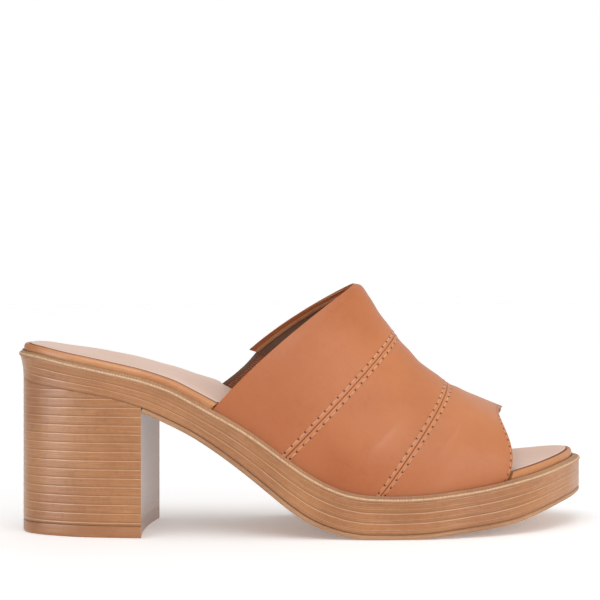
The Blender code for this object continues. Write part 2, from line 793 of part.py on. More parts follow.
def main():
    """Build every piece of the sandal."""
    clear_scene()
    tan_leather = material("tan_leather", (0.58, 0.212, 0.102), 0.45)
    stacked = material("stacked_sole", (0.485, 0.242, 0.107), 0.5)
    tread = material("tread_rubber", (0.42, 0.21, 0.10), 0.6)
    rand = material("welt_leather", (0.75, 0.456, 0.262), 0.55)
    wrapped = material("footbed_leather", (0.73, 0.33, 0.141), 0.5)
    lining = material("sock_leather", (0.69, 0.515, 0.413), 0.6)
    elastic = material("gore_elastic", (0.156, 0.08, 0.032), 0.8)
    items = [build_lift(tread), build_heel(stacked), build_outsole(tread),
             build_platform(stacked), build_welt(rand), build_footbed(wrapped),
             build_sock(lining), build_upper(tan_leather), build_gore(elastic)]
    centre_plan(items)


main()
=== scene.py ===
"""Dressed right-foot heeled mule with an open toe and an open back.

The CAD nodes give the sizes. Every visible surface is laid again as a fine
numpy surface on the same named sizes, with its own procedural finish.
+X runs from heel to toe, +Y to the inner side of the foot, +Z up, in metres.
"""
import logging
import math
from collections.abc import Callable
from dataclasses import dataclass, field
from enum import Enum
from functools import partial

import bmesh
import bpy
import numpy as np
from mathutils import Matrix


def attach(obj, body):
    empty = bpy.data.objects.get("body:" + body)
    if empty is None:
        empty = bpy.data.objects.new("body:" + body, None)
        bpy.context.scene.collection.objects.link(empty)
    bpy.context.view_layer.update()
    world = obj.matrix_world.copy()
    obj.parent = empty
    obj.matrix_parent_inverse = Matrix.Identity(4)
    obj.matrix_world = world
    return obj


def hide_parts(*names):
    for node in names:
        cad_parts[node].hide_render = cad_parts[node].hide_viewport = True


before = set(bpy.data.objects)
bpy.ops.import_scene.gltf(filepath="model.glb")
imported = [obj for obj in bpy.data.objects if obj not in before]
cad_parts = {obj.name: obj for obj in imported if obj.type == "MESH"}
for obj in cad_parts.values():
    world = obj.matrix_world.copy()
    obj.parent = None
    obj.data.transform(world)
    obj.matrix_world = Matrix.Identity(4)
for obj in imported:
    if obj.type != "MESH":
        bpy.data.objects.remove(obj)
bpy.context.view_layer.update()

LOG = logging.getLogger("mule")
Heights = Callable[[np.ndarray, np.ndarray], np.ndarray]
Colour = tuple[float, float, float]
Socket = bpy.types.NodeSocket

# Stitch rows, in metres: pitch of the holes along a seam and along the toe
# edge, and how far a row lies from its seam or edge
SEAM_PITCH = 0.0039
TOE_PITCH = 0.0030
STITCH_LINE = 0.0016

# Section numbers of the upper's two seams and of its toe edge
REAR_SEAM, FRONT_SEAM, TOE_EDGE = 1.0, 2.0, 3.0

# Points closer than this are one, and edges sharper than this stay crisp
MERGE = 0.000003
CRISP = math.radians(40.0)

# Plan of the rim: station, outer side, inner side, as shares
PLAN = (
    (0.003, -0.110, 0.042),
    (0.013, -0.181, 0.131),
    (0.034, -0.242, 0.204),
    (0.070, -0.303, 0.256),
    (0.120, -0.357, 0.286),
    (0.190, -0.397, 0.284),
    (0.260, -0.426, 0.271),
    (0.330, -0.449, 0.257),
    (0.400, -0.469, 0.269),
    (0.460, -0.483, 0.297),
    (0.520, -0.501, 0.351),
    (0.580, -0.525, 0.413),
    (0.640, -0.535, 0.451),
    (0.700, -0.534, 0.467),
    (0.760, -0.499, 0.464),
    (0.815, -0.454, 0.449),
    (0.865, -0.392, 0.422),
    (0.905, -0.311, 0.383),
    (0.940, -0.210, 0.332),
    (0.966, -0.123, 0.286),
    (0.985, -0.030, 0.240),
    (0.996, 0.048, 0.192),
)

# Side view of the sole: station, rim, tread, as shares
PROFILE = (
    (0.000, 1.000, 0.836),
    (0.030, 0.987, 0.803),
    (0.079, 0.952, 0.777),
    (0.148, 0.905, 0.739),
    (0.212, 0.856, 0.681),
    (0.260, 0.802, 0.612),
    (0.292, 0.748, 0.558),
    (0.326, 0.686, 0.488),
    (0.359, 0.627, 0.412),
    (0.392, 0.561, 0.330),
    (0.425, 0.485, 0.243),
    (0.458, 0.405, 0.156),
    (0.491, 0.333, 0.086),
    (0.524, 0.276, 0.040),
    (0.556, 0.239, 0.013),
    (0.591, 0.221, 0.000),
    (0.640, 0.216, 0.000),
    (0.680, 0.221, 0.004),
    (0.723, 0.233, 0.016),
    (0.778, 0.252, 0.034),
    (0.832, 0.280, 0.055),
    (0.871, 0.302, 0.083),
    (0.914, 0.326, 0.119),
    (0.955, 0.350, 0.149),
    (0.985, 0.364, 0.168),
    (1.000, 0.371, 0.176),
)

# Rise of the inner side over the outer side: station, rise
ARCH = (
    (0.000, 0.006),
    (0.080, 0.018),
    (0.130, 0.028),
    (0.190, 0.034),
    (0.240, 0.037),
    (0.300, 0.070),
    (0.350, 0.108),
    (0.400, 0.098),
    (0.470, 0.050),
    (0.540, 0.012),
    (0.600, 0.000),
    (0.780, 0.000),
    (0.860, 0.012),
    (0.930, 0.006),
    (1.000, 0.000),
)

# Ridge of the upper: station, height
RIDGE = (
    (0.551, 1.010),
    (0.579, 1.000),
    (0.593, 0.994),
    (0.610, 0.944),
    (0.628, 0.876),
    (0.646, 0.822),
    (0.664, 0.764),
    (0.681, 0.723),
    (0.698, 0.678),
    (0.716, 0.645),
    (0.734, 0.616),
    (0.751, 0.583),
    (0.769, 0.566),
    (0.787, 0.545),
    (0.804, 0.528),
    (0.822, 0.509),
    (0.849, 0.480),
    (0.860, 0.468),
)

# Sections of the upper: number, outer foot, inner foot, ridge, ridge side,
# fullness, outer bow, inner bow, turn of the inner flank ahead of the outer one
SECTIONS = (
    (0.0, 0.328, 0.337, 0.579, -0.040, 2.25, -0.039, -0.062, 0.000),
    (1.0, 0.452, 0.452, 0.655, -0.025, 2.25, 0.000, 0.000, 0.000),
    (2.0, 0.610, 0.610, 0.747, 0.000, 2.30, 0.000, 0.000, 0.000),
    (3.0, 0.8385, 0.8385, 0.8515, 0.025, 2.45, 0.054, -0.045, 0.113),
)

# Shallow creases of the worked leather: section number, place round the
# section, how far it runs in each direction and depth in metres
CREASES = (
    (0.55, -0.60, 0.055, 0.14, 0.00016),
    (0.72, -0.78, 0.040, 0.10, 0.00020),
    (1.35, -0.52, 0.070, 0.16, 0.00014),
    (1.62, -0.70, 0.050, 0.12, 0.00018),
    (2.30, -0.62, 0.040, 0.13, 0.00020),
    (2.48, -0.45, 0.045, 0.18, 0.00016),
    (2.40, 0.45, 0.045, 0.18, 0.00016),
    (1.50, 0.58, 0.060, 0.15, 0.00016),
    (0.95, 0.70, 0.050, 0.12, 0.00018),
)


def ease(table: tuple, column: int, where: np.ndarray) -> np.ndarray:
    """Read a table column at given stations with a smooth monotone curve.

    The curve is a cubic in each span whose end slopes are the weighted
    harmonic mean of the slopes of the two neighbouring spans.

    Args:
        table: rows whose first value is the station.
        column: the column to read.
        where: stations to read it at.

    Returns:
        The values at the stations.
    """
    x = np.array([row[0] for row in table])
    y = np.array([row[column] for row in table])
    step = np.diff(x)
    rate = np.diff(y) / step
    product = rate[:-1] * rate[1:]
    before = 2.0 * step[1:] + step[:-1]
    after = step[1:] + 2.0 * step[:-1]
    low = np.where(product > 0.0, rate[:-1], 1.0)
    high = np.where(product > 0.0, rate[1:], 1.0)
    mean = (before + after) / (before / low + after / high)
    tangent = np.concatenate([rate[:1], np.where(product > 0.0, mean, 0.0), rate[-1:]])
    where = np.clip(np.asarray(where, dtype=float), x[0], x[-1])
    cell = np.clip(np.searchsorted(x, where, side="right") - 1, 0, len(x) - 2)
    h = step[cell]
    u = (where - x[cell]) / h
    rise = (1.0 + 2.0 * u) * (1.0 - u) ** 2 * y[cell] + u * u * (3.0 - 2.0 * u) * y[cell + 1]
    bend = u * (1.0 - u) ** 2 * h * tangent[cell] + u * u * (u - 1.0) * h * tangent[cell + 1]
    return rise + bend


def closed_curve(points: np.ndarray, fine: int) -> np.ndarray:
    """Pass a smooth closed curve through points.

    Each span is a cubic whose end slopes weigh the neighbouring chords by
    the square root of their lengths.

    Args:
        points: the points in order, as an array n x 2.
        fine: steps in each span.

    Returns:
        The curve as an array of points.
    """
    before = np.roll(points, 1, axis=0)
    after = np.roll(points, -1, axis=0)
    beyond = np.roll(points, -2, axis=0)
    reach_0 = np.linalg.norm(points - before, axis=1)[:, None] ** 0.5
    reach_1 = np.linalg.norm(after - points, axis=1)[:, None] ** 0.5
    reach_2 = np.linalg.norm(beyond - after, axis=1)[:, None] ** 0.5
    out = (points - before) / reach_0 - (after - before) / (reach_0 + reach_1)
    out = (out + (after - points) / reach_1) * reach_1
    into = (after - points) / reach_1 - (beyond - points) / (reach_1 + reach_2)
    into = (into + (beyond - after) / reach_2) * reach_1
    u = (np.arange(fine) / fine)[None, :, None]
    cube = (2.0 * u ** 3 - 3.0 * u ** 2 + 1.0) * points[:, None, :]
    cube = cube + (3.0 * u ** 2 - 2.0 * u ** 3) * after[:, None, :]
    cube = cube + (u ** 3 - 2.0 * u ** 2 + u) * out[:, None, :] + (u ** 3 - u ** 2) * into[:, None, :]
    return cube.reshape(-1, 2)


def smooth(low: float, high: float, value: np.ndarray) -> np.ndarray:
    """Step softly from 0 at low to 1 at high."""
    share = np.clip((value - low) / (high - low), 0.0, 1.0)
    return share * share * (3.0 - 2.0 * share)


def flat(z: float) -> Heights:
    """Height function of a level plane."""
    return lambda x, y: np.full_like(x, z)


def under(z: float, roof: Heights, slack: float) -> Heights:
    """Height function of a level plane that stays some slack under a roof."""
    return lambda x, y: np.minimum(z, roof(x, y) - slack)


def between(low: Heights, high: Heights, share: float) -> Heights:
    """Height function a share of the way from one height to another."""
    return lambda x, y: low(x, y) * (1.0 - share) + high(x, y) * share


@dataclass
class Last:
    """The shape that every piece is laid on: plan, side view and sections."""

    length: float = 0.2422
    breadth: float = 0.0842
    seat: float = 0.0742
    instep: float = 0.1030
    gap: float = 0.0003
    welt_width: float = 0.0033
    welt_at_heel: float = 0.54
    welt_span: float = 0.34
    welt_edge: float = 0.0011
    welt_rise: float = 0.0012
    heel_tip: float = -0.036
    toe_tip: float = 0.128
    sides: list[tuple[np.ndarray, np.ndarray]] = field(default_factory=list)
    middle: tuple[float, float] = (0.0, 0.0)

    def __post_init__(self) -> None:
        """Lay the rim curve once and keep both of its sides."""
        heel = np.array([[0.0, self.heel_tip * self.breadth]])
        toe = np.array([[self.length, self.toe_tip * self.breadth]])
        rows = np.array(PLAN)
        outer = np.stack([rows[:, 0] * self.length, rows[:, 1] * self.breadth], axis=1)
        inner = np.stack([rows[:, 0] * self.length, rows[:, 2] * self.breadth], axis=1)
        fine = 60
        curve = closed_curve(np.vstack([heel, outer, toe, inner[::-1]]), fine)
        turn = (len(PLAN) + 1) * fine
        both = (curve[: turn + 1], np.vstack([curve[turn:], curve[:1]])[::-1])
        for side, sign in zip(both, (1.0, -1.0)):
            along = np.gradient(side, axis=0)
            along = along / np.linalg.norm(along, axis=1)[:, None]
            self.sides.append((side, np.stack([-along[:, 1], along[:, 0]], axis=1) * sign))
        self.middle = (self.length / 2.0, (both[0][:, 1].min() + both[1][:, 1].max()) / 2.0)

    def side(self, x: np.ndarray, inset: np.ndarray | float, outer: bool) -> np.ndarray:
        """Place points of one side of the rim, moved in square to it.

        Args:
            x: lengths from the heel tip.
            inset: distance inside the rim.
            outer: True for the outer side of the foot.

        Returns:
            Plan points, the shape of x with a last axis of two.
        """
        curve, normal = self.sides[0 if outer else 1]
        x = np.asarray(x, dtype=float)
        inset = np.broadcast_to(np.asarray(inset, dtype=float), x.shape)
        order = np.maximum.accumulate(curve[:, 0])
        y = np.interp(x, order, curve[:, 1])
        across = np.stack([np.interp(x, order, normal[:, k]) for k in (0, 1)], axis=-1)
        across = np.where((x <= 1e-9)[..., None], np.array([1.0, 0.0]), across)
        across = np.where((x >= self.length - 1e-9)[..., None], np.array([-1.0, 0.0]), across)
        across = across / np.linalg.norm(across, axis=-1)[..., None]
        return np.stack([x, y], axis=-1) + across * inset[..., None]

    def arch(self, x: np.ndarray, y: np.ndarray) -> np.ndarray:
        """Height gained toward the inner side of the arch.

        Args:
            x: lengths from the heel tip.
            y: places across the sole.

        Returns:
            Heights that grow evenly from the outer rim to the inner rim.
        """
        low = self.side(x, 0.0, True)[..., 1]
        high = self.side(x, 0.0, False)[..., 1]
        share = np.clip((y - low) / np.maximum(high - low, 0.001), 0.0, 1.0)
        return ease(ARCH, 1, np.asarray(x) / self.length) * self.seat * share

    def over(self, column: int, offset: float | np.ndarray, x: np.ndarray,
             y: np.ndarray) -> np.ndarray:
        """Height square over the rim line or the tread line.

        The line's height gains the offset times the slope factor, which is
        the square root of one plus the slope squared, and the arch.

        Args:
            column: 1 for the rim line, 2 for the tread line.
            offset: thickness over the line, measured square to its slope.
            x: lengths from the heel tip.
            y: places across the sole.

        Returns:
            Heights.
        """
        line = ease(PROFILE, column, x / self.length) * self.seat
        step = 0.002
        high = ease(PROFILE, column, (x + step) / self.length)
        low = ease(PROFILE, column, (x - step) / self.length)
        slope = (high - low) * self.seat / (2.0 * step)
        return line + offset * np.sqrt(1.0 + slope ** 2) + self.arch(x, y)

    def welt(self, x: np.ndarray) -> np.ndarray:
        """Width of the welt, which narrows softly toward the heel."""
        share = smooth(0.0, self.welt_span, np.asarray(x) / self.length)
        return self.welt_width * (self.welt_at_heel + (1.0 - self.welt_at_heel) * share)

    def rim(self, offset: float) -> Heights:
        """Height function over the rim line."""
        return partial(self.over, 1, offset)

    def tread(self, offset: float) -> Heights:
        """Height function over the tread line."""
        return partial(self.over, 2, offset)

    def place(self, points: np.ndarray) -> np.ndarray:
        """Move laid points into the shared frame."""
        return points - np.array([self.middle[0], self.middle[1], 0.0])

    def band(self, s: np.ndarray, t: np.ndarray) -> np.ndarray:
        """Point of the outer face of the upper.

        Each flank of a section is a super-ellipse quarter in a plane that
        leans back to the topline: sideways reach is a power of the sine of
        the turn and climb a power of its cosine. Past t = 1 or -1 the wall
        drops straight into the slot beside the welt.

        Args:
            s: section number, 0 at the topline to 3 at the toe opening.
            t: place round the section, -1 outer foot, 0 ridge, 1 inner foot.

        Returns:
            Points in the sole's own plan frame.
        """
        s, t = np.broadcast_arrays(np.asarray(s, dtype=float), np.asarray(t, dtype=float))
        outer_x, inner_x, ridge_x = (ease(SECTIONS, k, s) * self.length for k in (1, 2, 3))
        ridge_y = ease(SECTIONS, 4, s) * self.breadth
        power = ease(SECTIONS, 5, s)
        bow = np.where(t < 0.0, ease(SECTIONS, 6, s), ease(SECTIONS, 7, s)) * self.instep
        inset = self.welt_width + self.gap
        foot = np.where((t < 0.0)[..., None], self.side(outer_x, inset, True),
                        self.side(inner_x, inset, False))
        foot_z = self.rim(self.welt_rise)(foot[..., 0], foot[..., 1])
        ridge_z = ease(RIDGE, 1, ridge_x / self.length) * self.instep
        angle = np.clip(np.abs(t), 0.0, 1.0) * math.pi / 2.0
        out = np.sin(angle) ** (2.0 / power)
        climb = np.clip(np.cos(angle), 0.0, 1.0) ** (2.0 / (power - 0.25))
        turn = ease(SECTIONS, 8, s) * self.instep * np.sign(t) * out * climb
        x = foot[..., 0] + (ridge_x - foot[..., 0]) * climb + 4.0 * climb * (1.0 - climb) * bow + turn
        y = ridge_y + (foot[..., 1] - ridge_y) * out
        drop = np.maximum(np.abs(t) - 1.0, 0.0) * (self.welt_rise + self.welt_edge)
        return np.stack([x, y, foot_z + (ridge_z - foot_z) * climb - drop], axis=-1)

    def band_frame(self, s: np.ndarray, t: np.ndarray) -> tuple[np.ndarray, np.ndarray, np.ndarray]:
        """Directions on the upper.

        Args:
            s: section number.
            t: place round the section.

        Returns:
            Outward unit normal, unit direction to the toe and metres for one
            section number.
        """
        s, t = np.broadcast_arrays(np.asarray(s, dtype=float), np.asarray(t, dtype=float))
        low, high = np.clip(s - 0.01, 0.0, TOE_EDGE), np.clip(s + 0.01, 0.0, TOE_EDGE)
        along = self.band(high, t) - self.band(low, t)
        pace = np.linalg.norm(along, axis=-1) / (high - low)
        turn = self.band(s, t + 0.008) - self.band(s, t - 0.008)
        normal = np.cross(along, turn)
        normal = normal / np.linalg.norm(normal, axis=-1)[..., None]
        return normal, along / np.linalg.norm(along, axis=-1)[..., None], pace


LAST = Last()


class Graph:
    """Shorthand for the nodes of one tree."""

    def __init__(self, tree: bpy.types.NodeTree) -> None:
        """Keep the tree that the nodes go into."""
        self.tree = tree

    def node(self, kind: str, inputs: dict | None = None, **settings: object) -> bpy.types.Node:
        """Add a node.

        Args:
            kind: type of the node.
            inputs: sockets or values by the name or number of the input.
            settings: plain properties of the node.

        Returns:
            The new node.
        """
        item = self.tree.nodes.new(kind)
        for key, value in settings.items():
            setattr(item, key, value)
        for key, value in (inputs or {}).items():
            if isinstance(value, bpy.types.NodeSocket):
                self.tree.links.new(value, item.inputs[key])
            else:
                item.inputs[key].default_value = value
        return item

    def math(self, operation: str, first: object, second: object = 0.0,
             third: object = 0.0) -> Socket:
        """Add a math node and return its result."""
        values = {0: first, 1: second, 2: third}
        return self.node("ShaderNodeMath", values, operation=operation).outputs[0]

    def product(self, first: object, second: object) -> Socket:
        """Multiply two values."""
        return self.math("MULTIPLY", first, second)

    def mix(self, share: object, first: Socket, second: Socket | Colour) -> Socket:
        """Mix two colours by a share and return the colour."""
        colours = [(*one, 1.0) if isinstance(one, tuple) else one for one in (first, second)]
        return self.node("ShaderNodeMix", {0: share, 6: colours[0], 7: colours[1]},
                         data_type="RGBA").outputs[2]

    def step(self, value: object, low: float, high: float, first: float = 0.0,
             last: float = 1.0) -> Socket:
        """Map a value softly from low and high to first and last."""
        inputs = {0: value, 1: low, 2: high, 3: first, 4: last}
        return self.node("ShaderNodeMapRange", inputs, interpolation_type="SMOOTHSTEP").outputs[0]

    def noise(self, place: object, scale: object, detail: float = 3.0, rough: float = 0.55) -> Socket:
        """Add a noise texture and return its value."""
        inputs = {"Vector": place, "Scale": scale, "Detail": detail, "Roughness": rough}
        return self.node("ShaderNodeTexNoise", inputs).outputs[0]

    def bump(self, height: object, distance: object, normal: Socket | None = None,
             strength: object = 1.0, sunk: bool = False) -> Socket:
        """Add a bump node.

        Args:
            height: height of the relief, in its own units.
            distance: metres for one unit of height.
            normal: an earlier normal to start from.
            strength: how much of the relief shows.
            sunk: True for marks that go into the surface.

        Returns:
            The normal.
        """
        inputs = {"Height": height, "Distance": distance, "Strength": strength}
        inputs.update({} if normal is None else {"Normal": normal})
        return self.node("ShaderNodeBump", inputs, invert=sunk).outputs[0]

    def vector(self, x: object, y: object = 0.0) -> Socket:
        """Join two values to a place."""
        return self.node("ShaderNodeCombineXYZ", {0: x, 1: y}).outputs[0]

    def object_place(self) -> Socket:
        """Place on the piece in metres."""
        return self.node("ShaderNodeTexCoord").outputs["Object"]

    def lay(self, name: str) -> tuple[Socket, Socket]:
        """Both values of one of the piece's own maps."""
        place = self.node("ShaderNodeUVMap", uv_map=name).outputs[0]
        return tuple(self.node("ShaderNodeSeparateXYZ", {0: place}).outputs[:2])


def shared_group(name: str, rows: tuple, fill: Callable[[Graph, dict, dict], None]) -> bpy.types.NodeTree:
    """Build a node group once and return it on every later call.

    Args:
        name: name of the group.
        rows: name, side and type of each socket.
        fill: function that adds the nodes and fills the outputs.

    Returns:
        The group's tree.
    """
    made = bpy.data.node_groups.get(name)
    if made is not None:
        return made
    tree = bpy.data.node_groups.new(name, "ShaderNodeTree")
    for label, side, kind in rows:
        tree.interface.new_socket(name=label, in_out=side, socket_type="NodeSocket" + kind)
    graph = Graph(tree)
    source = graph.node("NodeGroupInput")
    result = graph.node("NodeGroupOutput")
    answers: dict = {}
    fill(graph, {item.name: item for item in source.outputs}, answers)
    for label, value in answers.items():
        tree.links.new(value, result.inputs[label])
    return tree


def fill_grain(graph: Graph, given: dict, answer: dict) -> None:
    """Leather grain: small cells, finer pores and slow swells, as one height.

    Args:
        graph: tree of the group.
        given: input sockets by name.
        answer: output sockets by name, filled here.
    """
    cells = graph.node("ShaderNodeTexVoronoi", {"Vector": given["Place"], "Scale": given["Scale"]},
                       feature="SMOOTH_F1").outputs["Distance"]
    fine = graph.noise(given["Place"], graph.product(given["Scale"], 2.6), 4.0, 0.7)
    swell = graph.noise(given["Place"], 95.0, 2.0)
    height = graph.math("MULTIPLY_ADD", cells, -0.7, fine)
    height = graph.math("MULTIPLY_ADD", swell, given["Swell"], height)
    answer["Normal"] = graph.bump(height, given["Depth"])
    answer["Height"] = height


def fill_mottle(graph: Graph, given: dict, answer: dict) -> None:
    """Uneven dye: broad clouds between two colours and small darker flecks.

    Args:
        graph: tree of the group.
        given: input sockets by name.
        answer: output sockets by name, filled here.
    """
    cloud = graph.step(graph.noise(given["Place"], given["Scale"], 2.0, 0.45), 0.34, 0.68)
    fine = graph.noise(given["Place"], graph.product(given["Scale"], 11.0), 5.0, 0.7)
    fleck = graph.product(graph.step(fine, 0.42, 0.74), given["Fleck"])
    share = graph.math("MAXIMUM", fleck, graph.math("MULTIPLY_ADD", cloud, 0.8, fleck))
    share = graph.math("MINIMUM", share, 1.0)
    answer["Colour"] = graph.mix(graph.product(share, given["Amount"]), given["Light"], given["Dark"])
    answer["Mask"] = share


def fill_row(graph: Graph, given: dict, answer: dict) -> None:
    """Marks repeated along a line: round dots at a pitch and a distance.

    Args:
        graph: tree of the group.
        given: input sockets by name.
        answer: output sockets by name, filled here.
    """
    share = graph.math("FRACT", graph.math("DIVIDE", given["Run"], given["Pitch"]))
    along = graph.product(graph.math("SUBTRACT", share, 0.5), given["Pitch"])
    aside = graph.math("SUBTRACT", given["Aside"], given["Line"])
    square = graph.math("MULTIPLY_ADD", along, along, graph.product(aside, aside))
    far = graph.math("DIVIDE", graph.math("SQRT", square), given["Radius"])
    answer["Dot"] = graph.step(far, 1.15, 0.55)
    answer["Halo"] = graph.step(far, 3.2, 0.8)


def sockets(given: dict, answers: dict) -> tuple:
    """List a group's sockets, whose names are given as words for each type."""
    sides = (("INPUT", given), ("OUTPUT", answers))
    return tuple((name, side, kind) for side, kinds in sides
                 for kind, names in kinds.items() for name in names.split())


GRAIN_SOCKETS = sockets({"Vector": "Place", "Float": "Scale Swell Depth"},
                        {"Vector": "Normal", "Float": "Height"})
MOTTLE_SOCKETS = sockets({"Vector": "Place", "Color": "Light Dark", "Float": "Amount Scale Fleck"},
                         {"Color": "Colour", "Float": "Mask"})
ROW_SOCKETS = sockets({"Float": "Run Aside Pitch Line Radius"}, {"Float": "Dot Halo"})


class Slot(Enum):
    """Material slots of the part's record."""

    LEATHER = "tan_leather"
    SOLE = "stacked_sole"
    TREAD = "tread_rubber"
    WELT = "welt_leather"
    FOOTBED = "footbed_leather"
    SOCK = "sock_leather"
    GORE = "gore_elastic"


@dataclass(frozen=True)
class Surface:
    """What a finish is laid on: sockets after the grain and the uneven dye."""

    colour: Socket
    mask: Socket
    normal: Socket
    height: Socket


@dataclass(frozen=True)
class Finish:
    """A dressed surface with grain and uneven colour."""

    name: str
    light: Colour
    dark: Colour
    roughness: float = 0.45
    grain: float = 900.0
    depth: float = 0.00006
    swell: float = 0.6
    amount: float = 1.0
    clouds: float = 38.0
    fleck: float = 0.35
    coat: float = 0.0
    sheen: float = 0.0
    specular: float = 0.5

    def material(self) -> bpy.types.Material:
        """Return the material, built on the first call."""
        made = bpy.data.materials.get(self.name)
        return made if made is not None else self.build()

    def build(self) -> bpy.types.Material:
        """Build the node tree of the finish.

        Returns:
            The new material.
        """
        item = bpy.data.materials.new(self.name)
        item.use_nodes = True
        item.node_tree.nodes.clear()
        graph = Graph(item.node_tree)
        place = graph.object_place()
        grain = graph.node("ShaderNodeGroup", {"Place": place, "Scale": self.grain, "Swell": self.swell,
                                               "Depth": self.depth},
                           node_tree=shared_group("leather_grain", GRAIN_SOCKETS, fill_grain))
        mottle = graph.node("ShaderNodeGroup", {"Place": place, "Light": (*self.light, 1.0),
                                                "Dark": (*self.dark, 1.0), "Amount": self.amount,
                                                "Scale": self.clouds, "Fleck": self.fleck},
                            node_tree=shared_group("uneven_dye", MOTTLE_SOCKETS, fill_mottle))
        base = Surface(mottle.outputs["Colour"], mottle.outputs["Mask"],
                       grain.outputs["Normal"], grain.outputs["Height"])
        colour, rough, normal = self.dress(graph, base)
        shader = graph.node("ShaderNodeBsdfPrincipled",
                            {"Base Color": colour, "Roughness": rough, "Normal": normal,
                             "Coat Weight": self.coat, "Coat Roughness": 0.3,
                             "Sheen Weight": self.sheen, "Sheen Roughness": 0.5,
                             "Specular IOR Level": self.specular})
        graph.node("ShaderNodeOutputMaterial", {"Surface": shader.outputs[0]})
        return item

    def dress(self, graph: Graph, base: Surface) -> tuple[Socket, Socket, Socket]:
        """Add what sets this finish apart, here a little roughness in the grain.

        Args:
            graph: tree of the material.
            base: the surface it is laid on.

        Returns:
            Colour, roughness and normal.
        """
        rough = graph.math("MULTIPLY_ADD", base.height, 0.06, self.roughness - 0.03)
        return base.colour, rough, base.normal


@dataclass(frozen=True)
class UpperFinish(Finish):
    """Leather with needle holes along its seams and its toe edge."""

    # Colours: painted shade in the needle holes and the seam groove, painted light at the toe and painted
    # highlight on the raised lips, painted shade at the rear.
    hole: Colour = (0.070, 0.012, 0.002)
    painted_light: Colour = (0.70, 0.31, 0.14)
    deep: Colour = (0.33, 0.070, 0.014)
    seam_row: tuple[float, float, float] = (SEAM_PITCH, STITCH_LINE, 0.00045)
    toe_row: tuple[float, float, float] = (TOE_PITCH, STITCH_LINE, 0.00038)

    def dress(self, graph: Graph, base: Surface) -> tuple[Socket, Socket, Socket]:
        """Add holes and stretched rims round them, both with painted shade, and a painted highlight on the
        raised lips.

        Painted shade darkens the rear and painted light brightens the toe.

        Args:
            graph: tree of the material.
            base: the surface it is laid on.

        Returns:
            Colour, roughness and normal.
        """
        run, _ = graph.lay("Lay")
        seam, edge = graph.lay("Mark")
        rows = [self.row(graph, run, aside, sizes)
                for aside, sizes in ((seam, self.seam_row), (edge, self.toe_row))]
        dot = graph.math("MAXIMUM", rows[0].outputs["Dot"], rows[1].outputs["Dot"])
        halo = graph.math("MAXIMUM", rows[0].outputs["Halo"], rows[1].outputs["Halo"])
        length = graph.node("ShaderNodeSeparateXYZ", {0: graph.object_place()}).outputs[0]
        # Painted shade toward the rear and painted light toward the toe.
        colour = graph.mix(graph.step(length, 0.030, -0.020, 0.0, 0.38), base.colour, self.deep)
        colour = graph.mix(graph.step(length, 0.010, 0.055, 0.0, 0.22), colour, self.painted_light)
        # Painted highlight on the raised lips beside each seam.
        lip = graph.product(graph.step(seam, 0.0022, 0.0012), graph.step(seam, 0.0001, 0.0004))
        colour = graph.mix(graph.product(lip, 0.30), colour, self.painted_light)
        # Painted shade in the seam groove.
        colour = graph.mix(graph.step(seam, 0.00024, 0.00006, 0.0, 0.32), colour, self.hole)
        colour = graph.mix(graph.step(edge, -0.004, -0.009, 0.0, 0.45), colour, self.dark)
        # Painted shade in the sunk rims round the holes and in the holes.
        colour = graph.mix(graph.product(halo, 0.22), colour, self.dark)
        colour = graph.mix(dot, colour, self.hole)
        normal = graph.bump(graph.math("MULTIPLY_ADD", dot, 1.2, halo), 0.00018, base.normal, sunk=True)
        rough = graph.math("MULTIPLY_ADD", base.height, 0.06, self.roughness - 0.03)
        return colour, graph.math("MULTIPLY_ADD", base.mask, 0.05, rough), normal

    def row(self, graph: Graph, run: Socket, aside: Socket,
            sizes: tuple[float, float, float]) -> bpy.types.Node:
        """Add one row of holes beside a guide line.

        Args:
            graph: tree of the material.
            run: distance along the row.
            aside: distance from its guide line.
            sizes: pitch, distance of the row from the line and radius of a hole.

        Returns:
            The group's node.
        """
        inputs = {"Run": run, "Aside": aside, "Pitch": sizes[0], "Line": sizes[1], "Radius": sizes[2]}
        group = shared_group("stitch_row", ROW_SOCKETS, fill_row)
        return graph.node("ShaderNodeGroup", inputs, node_tree=group)


